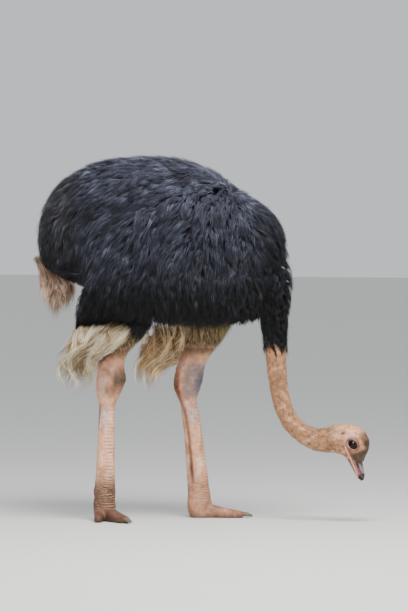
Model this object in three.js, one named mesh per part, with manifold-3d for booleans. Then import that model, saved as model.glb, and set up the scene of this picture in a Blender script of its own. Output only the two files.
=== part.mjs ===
// An adult male ostrich, Struthio camelus, that stands and reaches down to feed: a still, life-size figure.
// Millimetres. +X is the way the bird faces, +Y is its left and +Z is up. The soles stand on z = 0.
// Every solid reaches out to the tips of the feathers that grow on it.
import * as THREE from 'three';
import { mergeVertices } from 'three/addons/utils/BufferGeometryUtils.js';
import Module from 'manifold-3d';

const wasm = await Module();
wasm.setup();

// ---------------------------------------------------------------- driving dimensions

const GAP = 0.45;               // how far a neighbour is grown before it cuts a piece
const SIDES = [['right', -1], ['left', 1]];

const BODY_REAR = -632;         // the feathered body, without neck and plumes
const BODY_FRONT = 326;
const BODY_LEVEL = 1010;        // height of the widest line along the body
const BODY_SQUARENESS = 2.6;    // 2 gives an oval outline from the side, more gives a fuller one
const TAIL_CUT = { top: [-405, 1360], bottom: [-500, 860] };  // [x, z] of the cut between rump and trunk

// The wing's upper edge: its highest place and its two ends, with how full the edge is up to each end.
const WING_PEAK = { x: -48, z: 1262 };
const WING_REAR = { x: -442, z: 716, fullness: 1.62 };
const WING_FRONT = { x: 284, z: 925, fullness: 2.4 };
const WING_HALF_THICKNESS = 50;
const WING_SUNK = 8;            // how far the wing's middle lies inside the flank

const EYE = { x: 588, y: 27, z: 293, radius: 20 };
const HEAD_TILT = THREE.MathUtils.degToRad(69);  // how far the bill points below the level
const BILL_ORIGIN = [588, 0, 295];

const LEGS = {
  right: {
    y: -130, hipY: -118, footYaw: -45, foot: [-341, -130],
    shank: [[100, -341], [230, -338], [340, -335], [430, -332]],
    hock: [[430, -332], [480, -327], [534, -317], [600, -317]],
    thigh: [[600, -317], [660, -303], [730, -274], [860, -205]],
  },
  left: {
    y: 120, hipY: 118, footYaw: 7, foot: [-43, 120],
    shank: [[100, -45], [230, -58], [320, -67], [430, -85]],
    hock: [[430, -85], [480, -88], [534, -84], [600, -62]],
    thigh: [[600, -62], [660, -38], [730, -12], [860, 30]],
  },
};

// ---------------------------------------------------------------- colours and finishes

const finish = (color, roughness) => ({ color, roughness, metalness: 0 });
const BLACK_FEATHER = finish(0x1c1e26, 0.8);
const PALE_PLUME = finish(0xd0bb9c, 0.85);
const TAN_PLUME = finish(0xb59a82, 0.85);
const NECK_DOWN = finish(0xbf9679, 0.85);
const BARE_SKIN = finish(0xb88e77, 0.6);
const HORN = finish(0x6d5c58, 0.4);
const EYE_GLOSS = finish(0x1a120d, 0.1);

// ---------------------------------------------------------------- shapes

// The value at t of a smooth line through [place, value] knots, without overshoot.
function along(knots, t) {
  const last = knots.length - 1;
  if (t <= knots[0][0]) return knots[0][1];
  if (t >= knots[last][0]) return knots[last][1];
  const slope = (i) => (knots[i + 1][1] - knots[i][1]) / (knots[i + 1][0] - knots[i][0]);
  const tangent = (i) => {
    if (i === 0) return slope(0);
    if (i === last) return slope(last - 1);
    const before = slope(i - 1);
    const after = slope(i);
    return before * after <= 0 ? 0 : (2 * before * after) / (before + after);
  };
  const i = knots.findIndex(([place]) => place > t) - 1;
  const step = knots[i + 1][0] - knots[i][0];
  const u = (t - knots[i][0]) / step;
  const h = [2 * u ** 3 - 3 * u ** 2 + 1, u ** 3 - 2 * u ** 2 + u, 3 * u ** 2 - 2 * u ** 3, u ** 3 - u ** 2];
  return h[0] * knots[i][1] + h[1] * step * tangent(i) + h[2] * knots[i + 1][1] + h[3] * step * tangent(i + 1);
}

const signedPower = (value, power) => Math.sign(value) * Math.abs(value) ** power;
const range = (count) => Array.from({ length: count }, (_, i) => i);

// Rings of equal length joined into one closed body, with a fan over each end.
function closedBody(rings) {
  const sides = rings[0].length;
  const positions = rings.flat().flatMap((point) => point.toArray());
  const index = [];
  for (let r = 0; r + 1 < rings.length; r += 1) {
    for (let s = 0; s < sides; s += 1) {
      const [a, b] = [r * sides + s, r * sides + ((s + 1) % sides)];
      index.push(a, b, a + sides, b, b + sides, a + sides);
    }
  }
  const ends = [[rings[0], 0, true], [rings.at(-1), (rings.length - 1) * sides, false]];
  for (const [ring, first, flipped] of ends) {
    const centre = positions.length / 3;
    const middle = ring.reduce((sum, point) => sum.add(point), new THREE.Vector3()).divideScalar(sides);
    positions.push(...middle.toArray());
    for (let s = 0; s < sides; s += 1) {
      const [a, b] = [first + s, first + ((s + 1) % sides)];
      index.push(...(flipped ? [centre, b, a] : [centre, a, b]));
    }
  }
  const geometry = new THREE.BufferGeometry();
  geometry.setAttribute('position', new THREE.Float32BufferAttribute(positions, 3));
  geometry.setIndex(index);
  return facingOut(mergeVertices(geometry, 1e-3));
}

function facingOut(geometry) {
  const corner = range(3).map(() => new THREE.Vector3());
  const index = geometry.getIndex();
  const position = geometry.getAttribute('position');
  let volume = 0;
  for (let i = 0; i < index.count; i += 3) {
    corner.forEach((point, k) => point.fromBufferAttribute(position, index.getX(i + k)));
    volume += corner[0].dot(corner[1].cross(corner[2]));
  }
  if (volume > 0) return geometry;
  geometry.setIndex(Array.from(index.array).reverse());
  return geometry;
}

// Places along a length, closer together where an end is rounded.
const END_TURNS = [10.5, 40.5, 70.5];   // degrees round a rounded end at which its rings stand

function places(length, steps, roundStart, roundEnd) {
  const arc = END_TURNS.map((degrees) => 1 - Math.cos(THREE.MathUtils.degToRad(degrees)));
  const middle = range(steps + 1).map((k) => roundStart + ((length - roundStart - roundEnd) * k) / steps);
  const start = roundStart > 0 ? arc.map((part) => roundStart * part) : [];
  const end = roundEnd > 0 ? arc.map((part) => length - roundEnd * part).reverse() : [];
  return [...start, ...middle, ...end];
}

const roundedEnd = (distance, radius) => (
  radius === 0 || distance >= radius ? 1 : Math.sqrt(Math.max(0, 1 - ((radius - distance) / radius) ** 2)));

const ARC_SAMPLES = 200;

// A body swept along a smooth line. Each station is [x, y, z, half width, half depth, half depth below], where
// width lies along `side` and depth across it. `floor` flattens what would go lower than it.
function limb(stations, options = {}) {
  const { side = [0, 1, 0], sides = 12, steps = 6, power = 2, roundStart = 0, roundEnd = 0, floor } = options;
  const points = stations.map(([x, y, z]) => new THREE.Vector3(x, y, z));
  const curve = points.length > 2
    ? new THREE.CatmullRomCurve3(points, false, 'centripetal')
    : new THREE.LineCurve3(...points);
  const length = curve.getLength();
  const lengths = curve.getLengths(ARC_SAMPLES);
  const knotPlaces = stations.map((_, i) => lengths[Math.round((i / (stations.length - 1)) * ARC_SAMPLES)]);
  const knots = (column, spare) => stations.map((row, i) => [knotPlaces[i], row[column] ?? row[spare]]);
  const [widths, above, below] = [knots(3), knots(4), knots(5, 4)];
  const sideways = new THREE.Vector3(...side).normalize();
  const rings = places(length, steps, roundStart, roundEnd).map((distance) => {
    const u = Math.min(1, Math.max(0, distance / length));
    const centre = curve.getPointAt(u);
    const forward = curve.getTangentAt(u);
    const across = sideways.clone().addScaledVector(forward, -sideways.dot(forward)).normalize();
    const up = new THREE.Vector3().crossVectors(forward, across);
    const shrink = roundedEnd(distance, roundStart) * roundedEnd(length - distance, roundEnd);
    return range(sides).map((k) => {
      const angle = (2 * Math.PI * (k + 0.5)) / sides;
      const wide = signedPower(Math.cos(angle), 2 / power) * along(widths, distance);
      const deepness = along(Math.sin(angle) > 0 ? above : below, distance);
      const deep = signedPower(Math.sin(angle), 2 / power) * deepness;
      const point = centre.clone().addScaledVector(across, wide * shrink).addScaledVector(up, deep * shrink);
      if (floor !== undefined) point.z = Math.max(floor, point.z);
      return point;
    });
  });
  return closedBody(rings);
}

// ---------------------------------------------------------------- joins and cuts

// The same surface with positions only, and each shared corner held once.
function bare(geometry) {
  const copy = new THREE.BufferGeometry();
  copy.setAttribute('position', geometry.getAttribute('position').clone());
  copy.setIndex(geometry.getIndex());
  return mergeVertices(copy, 1e-3);
}

function toSolid(geometry) {
  const merged = bare(geometry);
  return new wasm.Manifold(new wasm.Mesh({
    numProp: 3,
    vertProperties: Float32Array.from(merged.getAttribute('position').array),
    triVerts: Uint32Array.from(merged.getIndex().array),
  }));
}

function fromSolid(solid) {
  const mesh = solid.getMesh();
  const geometry = new THREE.BufferGeometry();
  geometry.setAttribute('position', new THREE.Float32BufferAttribute(mesh.vertProperties, 3));
  geometry.setIndex(Array.from(mesh.triVerts));
  return geometry;
}

// The same body with its surface moved out by the gap.
function grown(geometry) {
  const copy = bare(geometry);
  copy.computeVertexNormals();
  const position = copy.getAttribute('position');
  const normal = copy.getAttribute('normal');
  for (let i = 0; i < position.count; i += 1) {
    position.setXYZ(
      i,
      position.getX(i) + GAP * normal.getX(i),
      position.getY(i) + GAP * normal.getY(i),
      position.getZ(i) + GAP * normal.getZ(i),
    );
  }
  copy.deleteAttribute('normal');
  return copy;
}

// A body with room cut in it for its neighbours.
function clearOf(geometry, ...neighbours) {
  const cutters = neighbours.map((neighbour) => toSolid(grown(neighbour)));
  return fromSolid(cutters.reduce((solid, cutter) => solid.subtract(cutter), toSolid(geometry)));
}

function only(geometry, region) {
  return fromSolid(toSolid(geometry).intersect(toSolid(region)));
}

// ---------------------------------------------------------------- body

// The body's side outline: an oval of changing height, squared by BODY_SQUARENESS. The values are millimetres
// at a place from -1, the rear, to 1, the front.
const BODY_MIDDLE = (BODY_REAR + BODY_FRONT) / 2;
const BODY_HALF = (BODY_FRONT - BODY_REAR) / 2;
const BODY_ABOVE = [[-1, 372], [-0.5, 357], [0, 351], [0.45, 310], [0.7, 262], [1, 222]];
const BODY_BELOW = [[-1, 140], [-0.67, 165], [-0.3, 213], [0.1, 290], [0.5, 310], [0.75, 300], [1, 220]];
const BODY_WIDTH = [[-1, 205], [-0.6, 232], [-0.2, 262], [0.2, 260], [0.6, 218], [1, 150]];
const BODY_SECTION = 2.2;       // squareness of the body seen along its length
const END_CROWDING = 0.8;       // under 1 brings the rings of a body closer together toward its ends

function bodyAt(x) {
  const place = THREE.MathUtils.clamp((x - BODY_MIDDLE) / BODY_HALF, -1, 1);
  const fullness = (1 - Math.abs(place) ** BODY_SQUARENESS) ** (1 / BODY_SQUARENESS);
  return {
    above: along(BODY_ABOVE, place) * fullness,
    below: along(BODY_BELOW, place) * fullness,
    width: along(BODY_WIDTH, place) * fullness,
  };
}

function wholeBody() {
  const steps = 22;
  const sides = 20;
  const rings = range(steps).map((i) => {
    const turn = ((i + 0.5) / steps) * Math.PI;
    const x = BODY_MIDDLE - BODY_HALF * signedPower(Math.cos(turn), END_CROWDING);
    const { above, below, width } = bodyAt(x);
    return range(sides).map((k) => {
      const angle = (2 * Math.PI * k) / sides;
      const height = Math.sin(angle) > 0 ? above : below;
      return new THREE.Vector3(
        x,
        width * signedPower(Math.cos(angle), 2 / BODY_SECTION),
        BODY_LEVEL + height * signedPower(Math.sin(angle), 2 / BODY_SECTION),
      );
    });
  });
  return closedBody(rings);
}

// The rump and the trunk are one oval, parted by a thin slanting cut. Each half of the cut is a block that
// reaches past the body on its other sides.
const BLOCK = 900;

function rumpSide(towardRear) {
  const [[topX, topZ], [bottomX, bottomZ]] = [TAIL_CUT.top, TAIL_CUT.bottom];
  const slope = (topX - bottomX) / (topZ - bottomZ);
  const cutAt = (z) => bottomX + slope * (z - bottomZ) + (towardRear ? -GAP : 0);
  const far = towardRear ? -BLOCK : BLOCK;
  const [low, high] = [BODY_LEVEL - BLOCK / 2, BODY_LEVEL + BLOCK / 2];
  const ring = (y) => [
    new THREE.Vector3(cutAt(low), y, low),
    new THREE.Vector3(cutAt(high), y, high),
    new THREE.Vector3(far, y, high),
    new THREE.Vector3(far, y, low),
  ];
  return closedBody([ring(-BLOCK / 2), ring(BLOCK / 2)]);
}

const body = wholeBody();
const tail = only(body, rumpSide(true));
const trunk = only(body, rumpSide(false));

// ---------------------------------------------------------------- wings

// Half the breadth of the body's flank at a height. Below the widest line it falls almost straight, as the
// folded wing hangs: by HANG.drop it has come in by a share of its breadth.
const NEAR_BACK = 0.985;        // share of the body's height past which the flank is taken no further in
const HANG = { drop: 300, inward: 0.13 };

function flankAt(x, z) {
  const { above, width } = bodyAt(x);
  if (z > BODY_LEVEL) {
    const share = Math.min(NEAR_BACK, (z - BODY_LEVEL) / Math.max(above, 1));
    return width * (1 - share ** BODY_SECTION) ** (1 / BODY_SECTION);
  }
  return width * (1 - HANG.inward * ((BODY_LEVEL - z) / HANG.drop) ** 2);
}

const WING_BOTTOM = [
  [-442, 714], [-426, 698], [-380, 722], [-250, 742], [0, 728], [120, 728], [216, 746], [262, 800], [284, 922],
];
const WING_SECTION = 2.5;       // squareness of the wing seen along the body

function wingEdges(x) {
  const end = x < WING_PEAK.x ? WING_REAR : WING_FRONT;
  const share = Math.min(1, Math.abs((x - WING_PEAK.x) / (end.x - WING_PEAK.x)));
  const top = end.z + (WING_PEAK.z - end.z) * (1 - share ** end.fullness) ** (1 / end.fullness);
  return { top, bottom: along(WING_BOTTOM, x) };
}

function wing(side) {
  const steps = 14;
  const sides = 12;
  const rings = range(steps).map((i) => {
    const turn = ((i + 0.5) / steps) * Math.PI;
    const x = (WING_REAR.x + WING_FRONT.x) / 2 - ((WING_FRONT.x - WING_REAR.x) / 2) * Math.cos(turn);
    const { top, bottom } = wingEdges(x);
    const [middle, half] = [(top + bottom) / 2, (top - bottom) / 2];
    const thickness = WING_HALF_THICKNESS * Math.sqrt(Math.sin(turn));
    return range(sides).map((k) => {
      const angle = (2 * Math.PI * k) / sides;
      const z = middle + half * signedPower(Math.sin(angle), 2 / WING_SECTION);
      const y = flankAt(x, z) - WING_SUNK + thickness * signedPower(Math.cos(angle), 2 / WING_SECTION);
      return new THREE.Vector3(x, side * y, z);
    });
  });
  return closedBody(rings);
}

// ---------------------------------------------------------------- plumes and feather tufts

// The long pale plumes hang from under the wings, and curve back and out as they fall.
const RIGHT_WING_PLUMES = [
  [-300, -205, 770, 26, 118], [-318, -226, 735, 38, 112], [-362, -236, 683, 40, 84], [-396, -244, 640, 38, 68],
  [-412, -250, 590, 34, 76], [-417, -252, 545, 28, 80], [-424, -252, 505, 20, 45], [-432, -250, 468, 12, 18],
];
const LEFT_WING_PLUMES = [
  [-160, 205, 770, 26, 150], [-168, 226, 720, 38, 142], [-188, 236, 680, 40, 128], [-232, 244, 640, 38, 90],
  [-262, 250, 600, 34, 66], [-272, 252, 550, 28, 54], [-270, 252, 510, 20, 40], [-285, 250, 470, 10, 18],
];
const TAIL_PLUMES = [
  [-548, 0, 970, 84, 62], [-556, 0, 920, 96, 68], [-562, 0, 860, 92, 60], [-566, 0, 810, 76, 43],
  [-570, 0, 770, 54, 25], [-570, 0, 742, 28, 10],
];
// Black feathers on the flank fall in a point before the near thigh.
const FLANK_TUFT = [
  [-196, -178, 800, 46, 62], [-200, -184, 745, 42, 60], [-208, -190, 705, 32, 46], [-216, -194, 668, 18, 22],
  [-218, -194, 650, 8, 9],
];

const plume = (stations) => limb(stations, { sides: 10, steps: 6, power: 2.4, roundEnd: 10 });

// ---------------------------------------------------------------- neck

// Centre line of the neck from the shoulders to the throat: [x, z, half width, half depth].
const NECK_BASE = [
  [170, 1040, 96, 84], [222, 996, 98, 93], [256, 935, 94, 98], [270, 865, 80, 79], [276, 800, 62, 60],
  [278, 740, 51, 52], [280, 690, 46, 46], [284, 640, 41, 42],
];
const NECK = [
  [284, 640, 39, 41], [288, 580, 36, 39], [293, 520, 35, 37], [303, 462, 34, 35.5], [320, 410, 34, 35],
  [346, 366, 35, 36], [382, 333, 36.5, 38.5], [424, 312, 38.5, 42], [465, 305, 41, 47], [500, 308, 42.5, 52],
];
const NECK_CUTS = [0, 3, 6, 9];   // stations where one length of the neck meets the next

function neckLength(first, last) {
  const rows = NECK.slice(first, last + 1).map(([x, z, wide, deep]) => [x, 0, z, wide, deep]);
  return limb(rows, { steps: 5, sides: 14 });
}

// ---------------------------------------------------------------- head and bill

// Centre line of the head from the nape to the root of the bill: half width, depth to crown, depth to throat.
const HEAD = [
  [500, 0, 308, 42.5, 53, 52], [522, 0, 311, 44, 57, 56], [545, 0, 310, 46, 61, 62], [566, 0, 302, 47, 67, 61],
  [584, 0, 288, 46, 66, 52], [597, 0, 268, 42, 51, 42], [606, 0, 245, 34, 33, 33], [611, 0, 227, 29, 17, 27],
];

// Turns a place beside the bill's own line (forward, left, toward the crown) into one in the bird's frame.
function fromBill(forward, left, up) {
  const [x, y, z] = BILL_ORIGIN;
  const [cos, sin] = [Math.cos(HEAD_TILT), Math.sin(HEAD_TILT)];
  return [x + forward * cos + up * sin, y + left, z - forward * sin + up * cos];
}

const billRow = ([forward, up, wide, above, below]) => [...fromBill(forward, 0, up), wide, above, below];
const GAPE = -24.5;               // level of the mouth's line below the eye's centre
const BILL_GAP = 3;               // from the mouth's line down to the lower bill's own line
const UPPER_BILL = [
  [48, GAPE, 30, 37, 1.2], [66, GAPE, 27, 28, 1.2], [82, GAPE, 24.5, 23, 1.2], [98, GAPE, 22, 19.5, 1.2],
  [114, GAPE, 19.5, 17, 1.2], [127, GAPE - 0.5, 16, 13.5, 1.2], [137, GAPE - 3.5, 9, 7, 1.6],
];
const LOWER_BILL = [
  [22, GAPE - BILL_GAP, 31, 1.2, 28], [46, GAPE - BILL_GAP, 28, 1.2, 20],
  [78, GAPE - BILL_GAP, 22.5, 1.2, 15], [105, GAPE - BILL_GAP, 18.5, 1.2, 11],
  [122, GAPE - BILL_GAP, 15, 1.2, 8], [131, GAPE - BILL_GAP, 10, 1, 5],
];

// ---------------------------------------------------------------- legs

// Half width and half depth at heights of the leg, shared by both legs.
const SHANK_SIZE = [[100, 35, 41], [140, 31, 37.5], [230, 28, 34], [320, 28, 31], [430, 29, 28]];
const HOCK_SIZE = [[430, 29, 28], [470, 37, 41], [505, 43, 50], [545, 44, 53], [575, 41, 49], [600, 38, 46]];
const THIGH_SIZE = [[600, 38, 46], [640, 44, 56], [690, 58, 80], [735, 68, 98], [800, 72, 108], [860, 70, 104]];
const sizeAt = (sizes, z, column) => along(sizes.map((row) => [row[0], row[column]]), z);

// One length of a leg along its own line of [height, x]. Above the hock the line leans in toward the hip.
function legLength(leg, line, sizes) {
  const [thighBottom, thighTop] = [THIGH_SIZE[0][0], THIGH_SIZE.at(-1)[0]];
  const [bottom, top] = [line[0][0], line.at(-1)[0]];
  const stations = range(6).map((i) => {
    const z = bottom + ((top - bottom) * i) / 5;
    const lean = THREE.MathUtils.clamp((z - thighBottom) / (thighTop - thighBottom), 0, 1);
    const y = THREE.MathUtils.lerp(leg.y, leg.hipY, lean);
    return [along(line, z), y, z, sizeAt(sizes, z, 1), sizeAt(sizes, z, 2)];
  });
  return limb(stations, { steps: 6, power: 2.2, sides: 14 });
}

const TOE = { sides: 10, steps: 4, power: 2.3, floor: 0 };   // a toe is flat where it stands

function turned(stations, degrees) {
  const angle = THREE.MathUtils.degToRad(degrees);
  return stations.map(([x, y, z, ...sizes]) => [
    x * Math.cos(angle) - y * Math.sin(angle),
    x * Math.sin(angle) + y * Math.cos(angle),
    z,
    ...sizes,
  ]);
}

const ANKLE = [
  [0, 0, -12, 30, 30], [0, 0, 22, 37, 41], [0, 0, 50, 39, 45], [0, 0, 74, 37, 43], [0, 0, 99.7, 35, 41],
];
const BIG_TOE = [
  [16, 0, 34, 27, 30, 40], [60, 0, 24, 25, 21, 30], [100, 0, 17, 24, 18, 24], [140, 0, 14, 22, 15, 20],
  [172, 0, 11, 17, 11, 14],
];
const OUTER_TOE = [
  [6, 0, 30, 19, 24, 36], [40, 0, 18, 17, 17, 24], [75, 0, 13, 16, 13, 18], [104, 0, 10, 12, 10, 13],
];
const OUTER_TOE_ANGLE = 32;
const OUTER_TOE_OFFSET = 22;
const NAIL = [[150, 0, 16, 13, 10, 9], [172, 0, 14, 12, 9, 8], [190, 0, 11, 9, 6.5, 6], [204, 0, 8, 5, 3.2, 3]];

function footPieces(side) {
  const ankle = limb(ANKLE, { sides: 14, steps: 5, power: 2.2, floor: 0 });
  const bigToeShape = limb(BIG_TOE, { ...TOE, roundEnd: 14 });
  const angle = side * OUTER_TOE_ANGLE;
  const outerToeShape = limb(
    turned(OUTER_TOE, angle).map(([x, y, ...rest]) => [x, y + side * OUTER_TOE_OFFSET, ...rest]),
    { ...TOE, side: turned([[0, 1, 0]], angle)[0], roundEnd: 10 },
  );
  return {
    ankle,
    bigToe: clearOf(bigToeShape, ankle),
    outerToe: clearOf(outerToeShape, ankle, bigToeShape),
    nail: clearOf(limb(NAIL, { sides: 8, steps: 3, roundEnd: 4 }), bigToeShape),
  };
}

// ---------------------------------------------------------------- the bird

const ostrich = new THREE.Group();

function add(parent, name, geometry, look) {
  const mesh = new THREE.Mesh(geometry, new THREE.MeshStandardMaterial(look));
  mesh.name = name;
  parent.add(mesh);
  return mesh;
}

// Whole shapes, each of which then cuts the room it needs out of the pieces that meet it.
const wingShape = { right: wing(-1), left: wing(1) };
const thighShape = Object.fromEntries(SIDES.map(([name]) => (
  [name, legLength(LEGS[name], LEGS[name].thigh, THIGH_SIZE)])));
const neckBaseShape = limb(NECK_BASE.map(([x, z, wide, deep]) => [x, 0, z, wide, deep]), {
  sides: 14, steps: 6, roundStart: 60,
});
const flankTuftShape = plume(FLANK_TUFT);
const neckShapes = range(3).map((i) => neckLength(NECK_CUTS[i], NECK_CUTS[i + 1]));

add(ostrich, 'trunk', trunk, BLACK_FEATHER);
add(ostrich, 'tail', tail, BLACK_FEATHER);
add(ostrich, 'tail_plumes', clearOf(plume(TAIL_PLUMES), body), TAN_PLUME);
add(ostrich, 'neck_base', clearOf(neckBaseShape, body, wingShape.right, wingShape.left), BLACK_FEATHER);
const flankTuft = clearOf(flankTuftShape, body, wingShape.right, thighShape.right);
add(ostrich, 'flank_tuft_right', flankTuft, BLACK_FEATHER);
SIDES.forEach(([name]) => add(ostrich, `wing_${name}`, clearOf(wingShape[name], body), BLACK_FEATHER));
const rightPlumes = clearOf(plume(RIGHT_WING_PLUMES), wingShape.right, body, thighShape.right, flankTuftShape);
const leftPlumes = clearOf(plume(LEFT_WING_PLUMES), wingShape.left, body, thighShape.left);
add(ostrich, 'wing_plumes_right', rightPlumes, PALE_PLUME);
add(ostrich, 'wing_plumes_left', leftPlumes, PALE_PLUME);

const neckLengths = ['neck_lower', 'neck_middle', 'neck_upper'];
neckLengths.forEach((name, i) => {
  const above = i === 0 ? neckBaseShape : neckShapes[i - 1];
  add(ostrich, name, clearOf(neckShapes[i], above), NECK_DOWN);
});

const BILL = { sides: 12, steps: 6, power: 2.3 };
const upperBill = limb(UPPER_BILL.map(billRow), { ...BILL, roundEnd: 5 });
const lowerBill = clearOf(limb(LOWER_BILL.map(billRow), { ...BILL, roundEnd: 4 }), upperBill);
const eyes = Object.fromEntries(SIDES.map(([name, side]) => {
  const eye = new THREE.SphereGeometry(EYE.radius, 12, 7);
  return [name, { side, geometry: eye, placed: eye.clone().translate(EYE.x, side * EYE.y, EYE.z) }];
}));
const head = clearOf(
  limb(HEAD, { sides: 16, steps: 9, power: 2.15 }),
  neckShapes[2],
  upperBill,
  lowerBill,
  eyes.right.placed,
  eyes.left.placed,
);
add(ostrich, 'head', head, NECK_DOWN);
add(ostrich, 'bill_upper', upperBill, HORN);
add(ostrich, 'bill_lower', lowerBill, HORN);
Object.entries(eyes).forEach(([name, { side, geometry }]) => {
  add(ostrich, `eye_${name}`, geometry, EYE_GLOSS).position.set(EYE.x, side * EYE.y, EYE.z);
});

SIDES.forEach(([name, side]) => {
  const leg = LEGS[name];
  const hockShape = legLength(leg, leg.hock, HOCK_SIZE);
  add(ostrich, `thigh_${name}`, clearOf(thighShape[name], body, wingShape[name]), BARE_SKIN);
  add(ostrich, `hock_${name}`, clearOf(hockShape, thighShape[name]), BARE_SKIN);
  const foot = new THREE.Group();
  foot.position.set(leg.foot[0], leg.foot[1], 0);
  foot.rotation.z = THREE.MathUtils.degToRad(leg.footYaw);
  foot.updateMatrix();
  const { ankle, bigToe, outerToe, nail } = footPieces(side);
  const placedAnkle = ankle.clone().applyMatrix4(foot.matrix);
  const shank = clearOf(legLength(leg, leg.shank, SHANK_SIZE), hockShape, placedAnkle);
  add(ostrich, `shank_${name}`, shank, BARE_SKIN);
  add(foot, `foot_${name}`, ankle, BARE_SKIN);
  add(foot, `big_toe_${name}`, bigToe, BARE_SKIN);
  add(foot, `outer_toe_${name}`, outerToe, BARE_SKIN);
  add(foot, `nail_${name}`, nail, HORN);
  ostrich.add(foot);
});

export default ostrich;
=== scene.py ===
import math

import bmesh
import bpy
import numpy as np
from mathutils import Matrix, Vector
from mathutils.bvhtree import BVHTree
from mathutils.kdtree import KDTree


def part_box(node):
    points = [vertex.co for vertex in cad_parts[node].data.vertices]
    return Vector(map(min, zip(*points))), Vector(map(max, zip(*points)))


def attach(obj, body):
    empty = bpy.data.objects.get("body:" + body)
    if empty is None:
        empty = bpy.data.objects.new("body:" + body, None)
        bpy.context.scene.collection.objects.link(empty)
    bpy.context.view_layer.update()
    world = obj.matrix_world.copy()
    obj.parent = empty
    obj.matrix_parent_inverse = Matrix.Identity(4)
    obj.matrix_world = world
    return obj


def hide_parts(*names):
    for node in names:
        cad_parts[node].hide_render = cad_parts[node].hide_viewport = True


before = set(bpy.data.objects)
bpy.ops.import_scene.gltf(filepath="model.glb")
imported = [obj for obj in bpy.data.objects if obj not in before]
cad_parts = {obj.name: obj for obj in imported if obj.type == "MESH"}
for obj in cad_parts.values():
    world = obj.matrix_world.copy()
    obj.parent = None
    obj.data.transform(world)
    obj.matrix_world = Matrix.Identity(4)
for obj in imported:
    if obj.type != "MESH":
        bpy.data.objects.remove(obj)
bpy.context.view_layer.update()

# ---------------------------------------------------------------- stand, light and camera
# The figure stands on a pale matt floor in even studio light: a broad soft box high over its back, a weaker one
# by the camera and a pale room all round. The camera stands to its right, at the height of a person's chest.

AIM = Vector((0.008, 0.0, 0.80))
CAMERA_TURN = math.radians(15.0)     # from the bird's side toward its front
CAMERA_RISE = math.radians(2.0)
CAMERA_AWAY = 20.0
FRAME_PIXELS, PIXELS_PER_METRE = 612, 268     # the frame's long side, and its scale at the bird's distance
SENSOR_MM = 36.0
FLOOR_SIZE = 30.0


def linear(hex_colour):
    """An sRGB colour such as "#C9A48C" as linear red, green, blue and alpha."""
    parts = [int(hex_colour[i:i + 2], 16) / 255 for i in (1, 3, 5)]
    return [p / 12.92 if p <= 0.04045 else ((p + 0.055) / 1.055) ** 2.4 for p in parts] + [1.0]


def node(tree, kind, links=(), **settings):
    """Adds a shader node. Settings are its own properties or, by name, its inputs; links are (input, socket)."""
    made = tree.nodes.new(kind)
    for name, value in settings.items():
        socket = made.inputs.get(name.replace("_", " ")) if not hasattr(made, name) else None
        if socket is None:
            setattr(made, name, value)
        else:
            socket.default_value = value
    for name, source in links:
        tree.links.new(source, made.inputs[name])
    return made


def new_material(name, roughness, specular=0.5):
    """A material, its node tree and its shader."""
    made = bpy.data.materials.new(name)
    made.use_nodes = True
    shader = made.node_tree.nodes["Principled BSDF"]
    shader.inputs["Roughness"].default_value = roughness
    shader.inputs["Specular IOR Level"].default_value = specular
    return made, made.node_tree, shader


def from_bmesh(bm, name, material):
    mesh = bpy.data.meshes.new(name)
    bm.to_mesh(mesh)
    bm.free()
    for face in mesh.polygons:
        face.use_smooth = True
    mesh.materials.append(material)
    piece = bpy.data.objects.new(name, mesh)
    bpy.context.scene.collection.objects.link(piece)
    return piece


# Floor: matt paint, so it takes soft shadows and mirrors nothing.
studio_floor, tree, shader = new_material("matt_painted_floor", roughness=0.85)
shader.inputs["Base Color"].default_value = linear("#D9D8D4")
bm = bmesh.new()
bmesh.ops.create_grid(bm, x_segments=1, y_segments=1, size=FLOOR_SIZE)
from_bmesh(bm, "floor", studio_floor)

world = bpy.data.worlds.new("pale_room")
bpy.context.scene.world = world
world.use_nodes = True
room = world.node_tree.nodes["Background"]
room.inputs["Color"].default_value = linear("#E4E8EC")
room.inputs["Strength"].default_value = 0.9


def soft_box(name, place, aim, size, watts):
    light = bpy.data.lights.new(name, "AREA")
    light.shape = "DISK"
    light.size = size
    light.energy = watts
    lamp = bpy.data.objects.new(name, light)
    lamp.location = place
    lamp.rotation_euler = (Vector(aim) - Vector(place)).to_track_quat("-Z", "Y").to_euler()
    bpy.context.scene.collection.objects.link(lamp)


soft_box("sky_light", (1.2, -2.2, 4.2), (0.0, 0.0, 0.8), 2.6, 330)
soft_box("camera_light", (2.0, -5.5, 2.0), (0.0, 0.0, 0.7), 3.0, 160)

lens = bpy.data.cameras.new("camera")
lens.sensor_width = SENSOR_MM
lens.lens = SENSOR_MM * CAMERA_AWAY / (FRAME_PIXELS / PIXELS_PER_METRE)
lens.clip_end = 100.0
camera = bpy.data.objects.new("camera", lens)
toward = Vector((
    math.sin(CAMERA_TURN) * math.cos(CAMERA_RISE),
    -math.cos(CAMERA_TURN) * math.cos(CAMERA_RISE),
    math.sin(CAMERA_RISE),
))
camera.location = AIM + toward * CAMERA_AWAY
camera.rotation_euler = (-toward).to_track_quat("-Z", "Y").to_euler()
bpy.context.scene.collection.objects.link(camera)
bpy.context.scene.camera = camera

# ---------------------------------------------------------------- skin
# One skin covers trunk, wings, neck, head and legs without a seam. It is the flesh under the coat, so it lies
# deep under the body's long feathers, close under the down of the neck and at the surface on the bare legs.

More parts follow.
